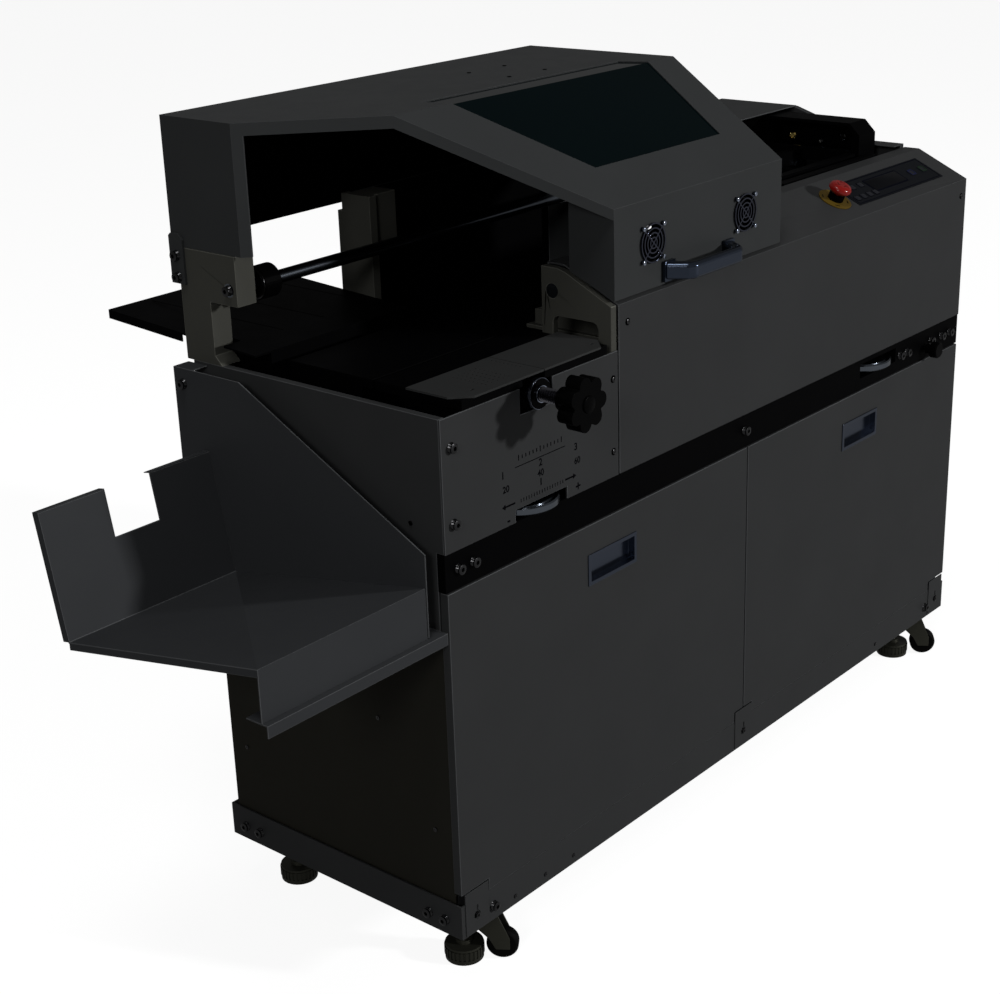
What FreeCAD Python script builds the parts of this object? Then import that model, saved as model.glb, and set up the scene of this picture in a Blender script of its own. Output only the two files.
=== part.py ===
"""Perfect binding machine: a floor-standing office binder with a hinged fume cover.

The model is written in the machine's own directions: X runs from the delivery end (left) to the
control panel (right), Y from the front face to the back, Z up from the underside of the base.
Every size is a cell of the sheet, and every feature is bound to those cells. At the end the whole
machine is carried to a frame whose origin lies on the floor below the middle of its box.
"""
import FreeCAD, Part
import os
import math
from types import SimpleNamespace
import Sketcher

DRIVING_SIZES = {
    # stations along the machine, from the delivery end
    "nip_station": 394, "glue_station": 436, "loading_station": 650,
    # cabinet
    "body_depth": 500, "floor_drop": 94, "rail_height": 56,
    "pan_wall": 3, "pan_front": 0.3, "post_side": 30, "post_inset": 12, "sheet": 2,
    "seat_gap": 0.3,
    "band_low": 559, "band_height": 57, "band_recess": 2, "band_thick": 14,
    "side_plate_thick": 12, "side_plate_lap": 79, "side_top_rise": 28, "side_rear_inset": 10,
    "lower_panel_recess": 4, "panel_gap": 3,
    # doors
    "door_head_gap": 2, "door_sheet": 1.6, "door_depth": 14, "door_split_shift": 6,
    "door_gap": 1.5, "tab_low": 2, "tab_height": 72, "tab_width": 52, "tab_edge": 8,
    "tab_thick": 1.6, "keyhole_edge": 33, "keyhole_z": 29, "keyhole_radius": 7,
    "keyhole_slot": 5, "keyhole_rise": 17, "stud_radius": 5, "stud_height": 3,
    "pull_width": 121, "pull_height": 51, "pull_drop": 72, "pull_rim": 6, "pull_proud": 2,
    "pull_pocket": 12, "pull_wall": 1.5,
    # front panels, heights above the bed plate
    "fold_rise": 96, "deck_rise": 47, "slope_depth": 101, "deck_flat": 31, "deck_lip": 12,
    "notch_left_room": 31, "notch_right_room": 41, "notch_drop": 10,
    "wheel_slot_half": 58.5, "wheel_slot_height": 19,
    "band_slot_half": 64, "band_slot_rise": 21, "band_slot_height": 26,
    # bed and castings, heights above the bed plate
    "bed_rise": 154, "bed_thick": 12, "bed_margin": 10, "casting_thick": 12, "casting_inset": 14,
    "casting_depth": 133, "casting_rise": 140, "casting_bend": 88, "casting_gap": 4,
    "window_front": 27, "window_rear": 112, "window_rise": 18, "window_height": 49,
    "window_corner": 10,
    "post_width": 36, "post_block": 122, "post_leg": 63, "post_rear_reach": 3,
    "post_block_rise": 123, "post_block_height": 74, "post_foot": 14,
    "bracket_gap": 4, "bracket_thick": 16, "bracket_reach": 71, "bracket_rear_reach": 5,
    "bracket_head_width": 65, "bracket_head_rise": 139, "bracket_head_gap": 6,
    "back_wall_inset": 5, "back_wall_rise": 218,
    # guide rods
    "rod_radius": 10, "rod_inset": 102, "rod_rise": 146, "front_rod_radius": 11, "front_rod_y": 113,
    "front_rod_rise": 104, "collar_radius": 24, "collar_gap": 14, "collar_width": 30,
    # delivery tray
    "chute_offset": 30, "chute_sheet": 2, "chute_rise": 24, "chute_flat": 142,
    "chute_nose": 10, "chute_nose_rise": 125, "chute_rear_reach": 2,
    "tray_width": 308, "tray_front": 12, "tray_front_rise": 76, "tray_run": 390, "tray_rear_rise": 2,
    "fence_height": 187, "fence_notch_width": 80, "fence_notch_depth": 69, "tray_lip": 12,
    "ledge_rise": 20, "ledge_front": 2, "ledge_depth": 40, "ledge_drop": 18,
    # cover feed table
    "table_left": 4, "table_end_room": 68, "table_room": 142, "table_reach": 187,
    "table_rise": 55, "table_climb": 19, "table_sheet": 3, "table_flange": 14,
    # rear deck
    "end_shelf_rise": 149, "end_shelf_depth": 73, "end_shelf_width": 24, "rear_deck_end_gap": 5,
    "rear_deck_room": 130, "rear_deck_reach": 45, "rear_deck_rise": 204, "rear_deck_low_rise": 88,
    "rear_deck_lip": 8,
    # cover
    "cover_reach": 15, "cover_slope_rise": 148, "cover_fold_rise": 238, "cover_fold_y": 212,
    "cover_front_rise": 7, "cover_side_rise": 198, "cover_nose_inset": 9,
    "cover_corner_room": 149, "cover_sheet": 2, "cover_flange": 18, "cover_stile": 15,
    "cover_cheek_depth": 83, "cover_cheek_climb": 34, "cover_arch_front": 110,
    "cover_arch_rear_room": 65, "cover_arch_rise": 30, "cover_arch_climb": 150,
    "glass_thick": 4, "glass_lap": 10,
    "window_base_y": 66, "window_base_left_room": 44, "window_base_right_room": 78,
    "window_fold_left_reach": 102, "window_fold_right_room": 70, "window_back_y": 258,
    "window_back_left_reach": 115, "window_back_right_room": 90,
    "fan_lift": 1.5, "fan_left_room": 92, "fan_right_room": 107, "fan_hole": 29, "fan_side": 60,
    "fan_depth": 15, "fan_bore": 28.5, "fan_tip": 26.5, "fan_hub": 12, "fan_screw_pitch": 50,
    "guard_wire": 1.1, "guard_standoff": 2.5,
    "handle_shift": 5, "handle_rise": 20, "handle_length": 181, "handle_reach": 42,
    "handle_height": 26, "handle_bar": 15, "handle_foot": 24, "handle_bend": 12,
    "handle_round": 7, "handle_flare": 5, "handle_flare_depth": 6,
    "hinge_inset": 6, "hinge_rise": 10, "hinge_pin": 4, "hinge_plate": 4, "hinge_plate_depth": 29,
    "hinge_plate_reach": 1, "hinge_plate_drop": 65, "hinge_plate_height": 74, "hinge_gap": 0.3,
    # control panel, places from the right end
    "membrane_room": 355, "membrane_width": 302, "membrane_low": 25, "membrane_depth": 65,
    "membrane_thick": 1.2, "blue_key_room": 66, "green_key_room": 26, "key_along": 58,
    "key_side": 16, "key_gap": 0.3, "key_low": 0.7, "key_height": 1.6,
    "estop_room": 37, "estop_along": 57, "estop_ring": 30, "estop_plate": 2, "estop_neck": 13,
    "estop_neck_height": 10, "estop_head": 20, "estop_head_height": 14, "estop_stem": 7,
    "estop_gap": 6,
    # nip station
    "nip_left": 45, "nip_end_room": 29, "nip_front": 0, "nip_edge": 160, "nip_gap": 6,
    "nip_relief": 20, "nip_rise": 29, "nip_thick": 14, "nip_rear_gap": 28, "nip_lug_width": 34,
    "nip_lug_front": 44, "nip_lug_depth": 18, "nip_lug_rise": 2,
    "table_plate_overhang": 6, "table_plate_right_reach": 4, "table_plate_rear": 96,
    "table_plate_thick": 3, "table_chamfer": 26, "table_seam": 1.6, "table_seam_room": 16,
    "hole_radius": 1.6, "seam_row_room": 11, "hole_block_room": 54, "hole_pitch": 12,
    "hole_step": 7.5, "hole_start": 20, "slot_length": 9, "slot_width": 4, "slot_edge": 44,
    "slot_along": 21,
    "slide_width": 20, "slide_edge": 15, "slide_right_edge": 45, "slide_front": 8,
    "slide_rear": 120,
    "knob_room": 152, "knob_rise": 15, "knob_radius": 40, "knob_front": -96, "knob_thick": 26,
    "knob_lobe": 12, "knob_hub": 17, "knob_hub_length": 20, "spindle_radius": 8,
    "spindle_rear": 68, "spindle_block": 14, "spindle_collar": 22, "spindle_collar_front": -12,
    "spindle_collar_width": 11,
    # handwheels
    "wheel_radius": 60, "wheel_y": 44, "wheel_thick": 12, "left_wheel_shift": 11,
    "left_wheel_rise": 4, "right_wheel_room": 304, "right_wheel_lift": 7, "wheel_hub": 16,
    "wheel_rim": 9, "wheel_web": 4, "wheel_shaft": 8, "wheel_shaft_length": 90,
    "bearing_rise": 40, "bearing_thick": 14, "bearing_width": 44, "bearing_depth": 62,
    "running_fit": 0.08,
    "lock_knob_room": 126, "lock_knob_rise": 19, "lock_knob_radius": 15, "lock_knob_length": 26,
    "lock_stud": 4, "lock_knob_gap": 4,
    # cutter and glue
    "cutter_room": 70, "cutter_y": 163, "cutter_radius": 42, "cutter_rise": 42, "cutter_thick": 14,
    "cutter_shaft": 9, "motor_radius": 45, "motor_drop": 130, "motor_flange": 60,
    "motor_flange_thick": 8, "tank_room": 260, "tank_width": 180, "tank_front": 96,
    "tank_depth": 150, "tank_drop": 37, "tank_rise": 30, "tank_wall": 6, "tank_lip": 10,
    "roller_radius": 28, "roller_shaft": 6,
    "well_gap": 2,
    # clamp carriage, heights above the bed plate
    "beam_room": 430, "beam_thick": 25, "hood_room": 106, "hood_thick": 59,
    "beam_front": 139, "beam_rise": 68, "beam_height": 130, "beam_rear_room": 80,
    "beam_rear_rise": 54, "hood_front": 170, "hood_rise": 59, "hood_front_corner": 22,
    "hood_rear_corner": 38, "hood_wall": 6, "hood_room_front": 188, "hood_room_depth": 182,
    "beam_waist": 205, "arm_front": 92, "arm_rise": 16, "arm_height": 40,
    "jaw_front_thick": 18, "jaw_gap": 20, "jaw_thick": 18, "jaw_height": 75, "jaw_end_gap": 0.3,
    "tie_front": 290, "tie_depth": 20, "tie_rise": 30, "tie_height": 45,
    "jaw_guide": 6, "jaw_guide_rise": 45, "jaw_seat": 10, "jaw_travel": 80,
    "jaw_guide_left_room": 60, "jaw_guide_right_room": 74,
    "yoke_room": 26, "yoke_depth": 10, "yoke_height": 30, "yoke_margin": 12,
    "screw_room": 22, "screw_radius": 7, "screw_hub": 12, "screw_hub_length": 4, "screw_tail": 2,
    # casters
    "caster_x": 75, "caster_y": 67, "caster_plate": 70, "caster_plate_thick": 4,
    "caster_stem": 8, "foot_radius": 30, "foot_height": 26, "foot_neck": 13,
    "fork_collar": 25, "fork_collar_low": 26, "fork_collar_high": 6, "fork_trail": 60,
    "fork_cheek": 3, "fork_inner": 11.6, "fork_end": 12, "wheel_tyre": 25, "caster_wheel_width": 22,
    "wheel_lift": 2, "axle_radius": 4,
    # fasteners
    "bolt_head": 8, "bolt_head_height": 5, "bolt_top": 5,
    "rail_bolt_z": 24, "side_bolt_y": 12, "side_bolt_rise": 0,
    "band_bolt_left": 28, "band_bolt_pitch": 31, "band_bolt_middle": 7, "band_bolt_end": 31,
    "band_bolt_step": 32, "band_bolt_gap": 74, "band_bolt_pair": 26, "band_bolt_room": 196,
}
CASTER_HEADING = -55.0


class Size:
    """A length together with the sheet formula that gives it."""

    def __init__(self, value, text):
        self.value = float(value)
        self.text = text

    def _join(self, sign, other, value):
        text = other.text if isinstance(other, Size) else repr(other)
        return Size(value, f"({self.text} {sign} {text})")

    def __add__(self, other):
        return self._join("+", other, self.value + number(other))

    def __sub__(self, other):
        return self._join("-", other, self.value - number(other))

    def __mul__(self, other):
        return self._join("*", other, self.value * number(other))

    def __truediv__(self, other):
        return self._join("/", other, self.value / number(other))

    def __neg__(self):
        return Size(-self.value, f"(0 - {self.text})")


def number(size):
    """Plain number of a Size or of a count."""
    return size.value if isinstance(size, Size) else float(size)


def root(size):
    """Square root, kept as a sheet formula."""
    return Size(math.sqrt(size.value), f"sqrt({size.text})")


ZERO = Size(0, "0")
doc = FreeCAD.newDocument("BindingMachine")
sheet = doc.addObject("Spreadsheet::Sheet", "Sizes")


def fill_sheet():
    """Write the driving sizes to the sheet and return them by name."""
    names = {}
    for row, (name, value) in enumerate(DRIVING_SIZES.items(), start=1):
        sheet.set(f"A{row}", name)
        sheet.set(f"B{row}", str(value))
        sheet.setAlias(f"B{row}", name)
        names[name] = Size(value, f"Sizes.{name}")
    doc.recompute()
    return SimpleNamespace(**names)


def place_stations(s):
    """Places along the machine, worked out from the three stations that make its length."""
    s.main_panel_left = s.nip_station
    s.small_panel_right = s.main_panel_left - s.panel_gap
    s.cover_right = s.nip_station + s.glue_station
    s.body_length = s.cover_right + s.loading_station
    s.door_split = s.body_length / 2 + s.door_split_shift
    s.casting_left = s.main_panel_left - s.casting_inset
    s.cover_nose = s.main_panel_left - s.cover_nose_inset
    s.table_right = s.main_panel_left - s.table_end_room
    s.bracket_left = s.table_right + s.bracket_gap
    s.collar_left = s.post_width + s.collar_gap
    s.nip_right = s.main_panel_left - s.nip_end_room
    s.table_plate_left = s.nip_left - s.table_plate_overhang
    s.table_plate_right = s.nip_right + s.table_plate_right_reach
    s.table_seam_x = s.nip_left + s.knob_room + s.table_seam_room
    s.slide_left_x = s.nip_left + s.slide_edge
    s.slide_right_x = s.nip_right - s.slide_right_edge
    s.knob_x = s.nip_left + s.knob_room
    s.notch_left = s.knob_x - s.notch_left_room
    s.notch_right = s.knob_x + s.notch_right_room
    s.left_wheel_x = s.knob_x + s.left_wheel_shift
    s.window_base_left = s.cover_nose + s.window_base_left_room
    s.window_base_right = s.cover_right - s.window_base_right_room
    s.window_fold_left = s.cover_nose - s.window_fold_left_reach
    s.window_fold_right = s.cover_right - s.window_fold_right_room
    s.window_back_left = s.cover_nose - s.window_back_left_reach
    s.window_back_right = s.cover_right - s.window_back_right_room
    s.fan_left_x = s.cover_nose + s.fan_left_room
    s.fan_right_x = s.cover_right - s.fan_right_room
    s.handle_x = (s.fan_left_x + s.fan_right_x) / 2 - s.handle_shift
    s.cutter_x = s.cover_right - s.cutter_room
    s.tank_left = s.cutter_x - s.tank_room
    s.roller_x = s.tank_left + s.tank_width / 2
    s.membrane_left = s.body_length - s.membrane_room
    s.blue_key_x = s.membrane_left + s.membrane_width - s.blue_key_room
    s.green_key_x = s.membrane_left + s.membrane_width - s.green_key_room
    s.estop_x = s.membrane_left - s.estop_room
    s.right_wheel_x = s.body_length - s.right_wheel_room
    s.lock_knob_x = s.body_length - s.lock_knob_room
    s.beam_left = s.body_length - s.beam_room
    s.hood_left = s.body_length - s.hood_room
    s.jaw_guide_left = s.beam_left + s.jaw_guide_left_room
    s.jaw_guide_right = s.hood_left - s.jaw_guide_right_room
    s.screw_x = s.hood_left - s.screw_room
    s.rear_deck_right = s.body_length - s.rear_deck_end_gap


def place_depths(s):
    """Places across the machine, worked out from the back of the body."""
    s.side_rear = s.body_depth - s.side_rear_inset
    s.post_rear = s.body_depth + s.post_rear_reach
    s.post_leg_front = s.post_rear - s.post_leg
    s.post_front = s.post_rear - s.post_block
    s.rod_y = s.body_depth - s.rod_inset
    s.bracket_rear = s.body_depth + s.bracket_rear_reach
    s.bracket_front = s.bracket_rear - s.bracket_reach
    s.back_wall_rear = s.body_depth - s.back_wall_inset
    s.chute_rear = s.body_depth + s.chute_rear_reach
    s.chute_flat_front = s.chute_rear - s.chute_flat
    s.tray_rear = s.tray_front + s.tray_run
    s.table_front = s.body_depth - s.table_room
    s.table_rear = s.body_depth + s.table_reach
    s.end_shelf_rear = s.slope_depth + s.deck_flat + s.end_shelf_depth
    s.rear_deck_front = s.body_depth - s.rear_deck_room
    s.rear_deck_rear = s.body_depth + s.rear_deck_reach
    s.cover_depth = s.body_depth + s.cover_reach
    s.cover_corner_y = s.cover_depth - s.cover_corner_room
    s.cover_arch_rear = s.cover_depth - s.cover_arch_rear_room
    s.hinge_y = s.cover_depth - s.hinge_inset
    s.hinge_plate_rear = s.cover_depth + s.hinge_plate_reach
    s.hinge_plate_front = s.hinge_plate_rear - s.hinge_plate_depth
    s.beam_rear = s.body_depth - s.beam_rear_room
    s.hood_room_rear = s.hood_room_front + s.hood_room_depth
    s.nip_rear_edge = s.table_front - s.nip_rear_gap
    s.tie_rear = s.tie_front + s.tie_depth
    s.yoke_front = s.tie_rear + s.yoke_room


def place_heights(s):
    """Heights, each worked out from the piece that carries it."""
    s.door_high = s.band_low - s.door_head_gap
    s.band_high = s.band_low + s.band_height
    s.side_plate_low = s.band_low - s.side_plate_lap
    s.tab_high = s.tab_low + s.tab_height
    s.keyhole_top = s.keyhole_z + s.keyhole_rise
    s.pull_z = s.door_high - s.pull_drop
    s.bed_low = s.band_high + s.bed_rise
    s.bed_top = s.bed_low + s.bed_thick
    s.side_top = s.bed_top + s.side_top_rise
    s.panel_fold = s.bed_top + s.fold_rise
    s.deck_top = s.panel_fold + s.deck_rise
    s.notch_low = s.bed_top - s.notch_drop
    s.wheel_slot_top = s.band_high + s.wheel_slot_height
    s.band_slot_low = s.band_low + s.band_slot_rise
    s.band_slot_high = s.band_slot_low + s.band_slot_height
    s.casting_top = s.bed_top + s.casting_rise
    s.window_low = s.bed_top + s.window_rise
    s.window_high = s.window_low + s.window_height
    s.post_block_low = s.bed_top + s.post_block_rise
    s.post_top = s.post_block_low + s.post_block_height
    s.back_wall_top = s.bed_top + s.back_wall_rise
    s.bracket_head_low = s.bed_top + s.bracket_head_rise
    s.rod_z = s.bed_top + s.rod_rise
    s.front_rod_z = s.bed_top + s.front_rod_rise
    s.ledge_z = s.side_plate_low + s.ledge_rise
    s.chute_low = s.ledge_z + s.chute_sheet
    s.chute_top = s.bed_top + s.chute_rise
    s.chute_nose_top = s.ledge_z + s.chute_nose_rise
    s.tray_rear_z = s.ledge_z + s.tray_rear_rise
    s.tray_front_z = s.ledge_z + s.tray_front_rise
    s.table_front_z = s.bed_top + s.table_rise
    s.table_rear_z = s.table_front_z + s.table_climb
    s.end_shelf_z = s.bed_top + s.end_shelf_rise
    s.rear_deck_top = s.bed_top + s.rear_deck_rise
    s.rear_deck_low = s.bed_top + s.rear_deck_low_rise
    s.cover_fold_z = s.bed_top + s.cover_fold_rise
    s.cover_top = s.cover_fold_z + s.cover_slope_rise
    s.cover_front_low = s.panel_fold + s.cover_front_rise
    s.cover_side_low = s.bed_top + s.cover_side_rise
    s.cover_cheek_rear_z = s.cover_front_low + s.cover_cheek_climb
    s.cover_arch_low = s.bed_top + s.cover_arch_climb
    s.cover_arch_top = s.cover_side_low + s.cover_arch_rise
    s.fan_z = (s.cover_front_low + s.cover_fold_z) / 2 + s.fan_lift
    s.handle_z = s.cover_front_low + s.handle_rise
    s.hinge_z = s.cover_side_low + s.hinge_rise
    s.hinge_plate_low = s.hinge_z - s.hinge_plate_drop
    s.hinge_plate_high = s.hinge_plate_low + s.hinge_plate_height
    s.nip_low = s.bed_top + s.nip_rise
    s.nip_high = s.nip_low + s.nip_thick
    s.nip_lug_low = s.bed_top + s.nip_lug_rise
    s.knob_z = s.bed_top + s.knob_rise
    s.table_plate_front = -s.table_plate_overhang
    s.left_wheel_z = s.band_high + s.left_wheel_rise
    s.right_wheel_z = s.band_slot_low + s.right_wheel_lift
    s.lock_knob_z = s.band_low + s.lock_knob_rise
    s.cutter_low = s.bed_top + s.cutter_rise
    s.motor_low = s.bed_low - s.motor_drop
    s.tank_low = s.bed_top - s.tank_drop
    s.tank_high = s.bed_top + s.tank_rise
    s.roller_z = s.tank_high
    s.beam_low = s.bed_top + s.beam_rise
    s.beam_top = s.beam_low + s.beam_height
    s.beam_rear_low = s.beam_low + s.beam_rear_rise
    s.hood_low = s.beam_low + s.hood_rise
    s.arm_low = s.beam_low + s.arm_rise
    s.arm_high = s.arm_low + s.arm_height
    s.jaw_high = s.beam_low + s.jaw_height
    s.tie_low = s.beam_low + s.tie_rise
    s.tie_high = s.tie_low + s.tie_height
    s.jaw_guide_z = s.beam_low + s.jaw_guide_rise
    s.side_bolt_z = s.bed_top + s.side_bolt_rise


d = fill_sheet()
place_stations(d)
place_depths(d)
place_heights(d)
PARTS = []


# Frame of the whole part: the middle of the box in plan, and the floor

far_left = -(d.chute_offset + d.tray_width)
far_right = d.body_length + d.bolt_head_height
SHIFT = ((far_left + far_right) / 2, (d.knob_front + d.table_rear) / 2, -d.floor_drop)


def at(thing, x=ZERO, y=ZERO, z=ZERO):
    """Bind the place of an object, given in machine directions, to the sheet."""
    for letter, size, shift in zip("xyz", (x, y, z), SHIFT):
        thing.setExpression(f".Placement.Base.{letter}", (size - shift).text)


def turn(thing, axis, degrees=None, formula=None):
    """Turn an object about an axis, by a fixed angle or by a sheet formula."""
    start = degrees if degrees is not None else 1.0
    thing.Placement = FreeCAD.Placement(
        thing.Placement.Base, FreeCAD.Rotation(FreeCAD.Vector(*axis), start))
    if formula is not None:
        thing.setExpression(".Placement.Rotation.Angle", formula)


def keep(thing, name):
    """Register a finished sub-part under the name of its node."""
    thing.Label = name
    PARTS.append((name, thing))
    return thing


# Sketches and features

def circle(x, y, radius):
    return ("circle", x, y, radius)


def rectangle(x0, y0, x1, y1):
    return [(x0, y0), (x1, y0), (x1, y1), (x0, y1)]


def six_sided(x, y, radius):
    """Small hole drawn with six sides, so that a block of them stays light."""
    half = radius * half_share
    wide = radius * hexagon_share
    return [(x, y - radius), (x + wide, y - half), (x + wide, y + half), (x, y + radius),
            (x - wide, y + half), (x - wide, y - half)]


def soft_rectangle(x0, y0, x1, y1, radius):
    """Rectangle whose corners are rounded off in two straight steps."""
    start = radius * corner_share
    return [
        (x0 + radius, y0), (x1 - radius, y0), (x1 - start, y0 + start), (x1, y0 + radius),
        (x1, y1 - radius), (x1 - start, y1 - start), (x1 - radius, y1), (x0 + radius, y1),
        (x0 + start, y1 - start), (x0, y1 - radius), (x0, y0 + radius), (x0 + start, y0 + start)]


def draw_loop(sketch, loop):
    """Add one closed loop, fully held by dimensions that follow the sheet."""
    if loop[0] == "circle":
        _, x, y, radius = loop
        edge = sketch.addGeometry(
            Part.Circle(FreeCAD.Vector(x.value, y.value, 0), FreeCAD.Vector(0, 0, 1), radius.value))
        held = (("DistanceX", x), ("DistanceY", y))
        for kind, size in held:
            index = sketch.addConstraint(Sketcher.Constraint(kind, -1, 1, edge, 3, size.value))
            sketch.setExpression(f"Constraints[{index}]", size.text)
        index = sketch.addConstraint(Sketcher.Constraint("Radius", edge, radius.value))
        sketch.setExpression(f"Constraints[{index}]", radius.text)
        return
    first = sketch.GeometryCount
    count = len(loop)
    for here, there in zip(loop, loop[1:] + loop[:1]):
        sketch.addGeometry(Part.LineSegment(
            FreeCAD.Vector(here[0].value, here[1].value, 0),
            FreeCAD.Vector(there[0].value, there[1].value, 0)))
    for step in range(count):
        sketch.addConstraint(
            Sketcher.Constraint("Coincident", first + step, 2, first + (step + 1) % count, 1))
    for step, (x, y) in enumerate(loop):
        for kind, size in (("DistanceX", x), ("DistanceY", y)):
            index = sketch.addConstraint(
                Sketcher.Constraint(kind, -1, 1, first + step, 1, size.value))
            sketch.setExpression(f"Constraints[{index}]", size.text)


def new_body(name, x=ZERO, y=ZERO, z=ZERO):
    """Start a sub-part whose own origin stands at a place of the machine."""
    body = doc.addObject("PartDesign::Body", name)
    at(body, x, y, z)
    return keep(body, name)


def new_sketch(body, plane, start, loops):
    """Sketch on one of the body's origin planes, moved along its normal to start."""
    sketch = body.newObject("Sketcher::SketchObject", body.Name + "_sketch")
    role = plane + "_Plane"
    origin_plane = next(item for item in body.Origin.OriginFeatures if item.Role == role)
    sketch.AttachmentSupport = [(origin_plane, "")]
    sketch.MapMode = "FlatFace"
    along = -start if plane == "XZ" else start
    sketch.setExpression(".AttachmentOffset.Base.z", along.text)
    for loop in loops:
        draw_loop(sketch, loop)
    return sketch


def pad(body, plane, start, length, *loops):
    """Add material from start over length, along the positive axis across the plane."""
    feature = body.newObject("PartDesign::Pad", body.Name + "_pad")
    feature.Profile = new_sketch(body, plane, start, loops)
    feature.Reversed = plane == "XZ"
    feature.setExpression("Length", length.text)
    body.Tip = feature
    return feature


def cut(body, plane, start, length, *loops):
    """Take material away from start over length, along the positive axis across the plane."""
    feature = body.newObject("PartDesign::Pocket", body.Name + "_pocket")
    feature.Profile = new_sketch(body, plane, start, loops)
    feature.Reversed = plane != "XZ"
    feature.setExpression("Length", length.text)
    body.Tip = feature
    return feature


def revolve(body, profile):
    """Turn a profile of (radius, height) points about the body's own Z axis."""
    feature = body.newObject("PartDesign::Revolution", body.Name + "_turned")
    sketch = new_sketch(body, "XZ", ZERO, [profile])
    feature.Profile = sketch
    feature.ReferenceAxis = (sketch, ["V_Axis"])
    feature.Angle = 360
    body.Tip = feature
    return feature


def polar(body, feature, count):
    """Repeat a feature around the body's own Z axis."""
    pattern = body.newObject("PartDesign::PolarPattern", body.Name + "_round")
    pattern.Originals = [feature]
    axis = next(item for item in body.Origin.OriginFeatures if item.Role == "Z_Axis")
    pattern.Axis = (axis, [""])
    pattern.Angle = 360
    pattern.Occurrences = count
    body.Tip = pattern
    return pattern


def round_edges(body, radius, chosen):
    """Fillet the edges of the body so far that the chosen test picks out."""
    tip = body.Tip
    doc.recompute()
    names = [f"Edge{index}" for index, edge in enumerate(tip.Shape.Edges, start=1) if chosen(edge)]
    feature = body.newObject("PartDesign::Fillet", body.Name + "_round")
    feature.Base = (tip, names)
    feature.setExpression("Radius", radius.text)
    body.Tip = feature
    return feature


def upright(edge):
    """Whether an edge runs along Z."""
    box = edge.BoundBox
    return box.ZLength > box.XLength + box.YLength


def row(body, feature, role, length, count):
    """Repeat a feature along one of the body's own axes, ending length further on."""
    pattern = body.newObject("PartDesign::LinearPattern", body.Name + "_row")
    pattern.Originals = [feature]
    axis = next(item for item in body.Origin.OriginFeatures if item.Role == role)
    pattern.Direction = (axis, [""])
    pattern.Reversed = True
    pattern.setExpression("Length", length.text)
    pattern.Occurrences = count
    body.Tip = pattern
    return pattern


def prism(name, plane, start, length, *loops):
    """Plain prism for booleans, drawn on a plane of the machine."""
    sketch = doc.addObject("Sketcher::SketchObject", name + "_outline")
    turns = {
        "XY": FreeCAD.Rotation(),
        "XZ": FreeCAD.Rotation(FreeCAD.Vector(1, 0, 0), 90),
        "YZ": FreeCAD.Rotation(FreeCAD.Vector(1, 1, 1), 120),
    }
    sketch.Placement = FreeCAD.Placement(FreeCAD.Vector(), turns[plane])
    letter = {"XY": "z", "XZ": "y", "YZ": "x"}[plane]
    sketch.setExpression(f".Placement.Base.{letter}", start.text)
    for loop in loops:
        draw_loop(sketch, loop)
    solid = doc.addObject("Part::Extrusion", name)
    solid.Base = sketch
    solid.DirMode = "Normal"
    solid.Solid = True
    solid.Reversed = plane == "XZ"
    solid.setExpression("LengthFwd", length.text)
    return solid


def boolean(kind, name, *things):
    """Cut, common or fusion of two or more solids."""
    result = doc.addObject("Part::" + kind, name)
    if kind in ("MultiFuse", "MultiCommon", "Compound"):
        setattr(result, "Links" if kind == "Compound" else "Shapes", list(things))
    else:
        result.Base, result.Tool = things
    return result


# Shares of a size, chosen by hand

half_share = 0.5
corner_share = 0.293
hexagon_share = 0.866
guard_ring_shares = (0.28, 0.52, 0.76, 1.0)
cross_share = 1.4142
slope_inset_share = 1.25
blade_root_share = 0.8
handle_foot_share = 0.333
handle_knee_share = 0.75
handle_bend_share = 1.25
handle_inner_share = 1.5
knob_waist_share = 0.6
knob_neck_share = 0.35
knob_shoulder_share = 0.45
head_edge_share = 0.85
head_rise_share = 0.25
head_high_share = 0.55
head_bend_share = 0.9
head_shoulder_share = 0.8
head_top_share = 0.6
cutter_core_share = 0.86
tooth_root_share = 0.7
tooth_back_share = 0.16
tooth_tip_share = 0.02
tooth_reach_share = 0.96
tooth_rake_share = 0.1
cutter_nut_share = 1.2
cheek_root_share = 1.5
cheek_toe_share = 0.8
cheek_heel_share = 1.6
bolt_first_share = 1.25
bolt_second_share = 5.25


# Cabinet

def tab_places():
    """Left edge and keyhole place of each tab that stands up from the front rail."""
    middle = d.door_split - d.tab_width / 2
    far = d.body_length - d.tab_edge - d.tab_width
    return ((d.tab_edge, d.keyhole_edge), (middle, d.door_split),
            (far, d.body_length - d.keyhole_edge))


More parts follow.
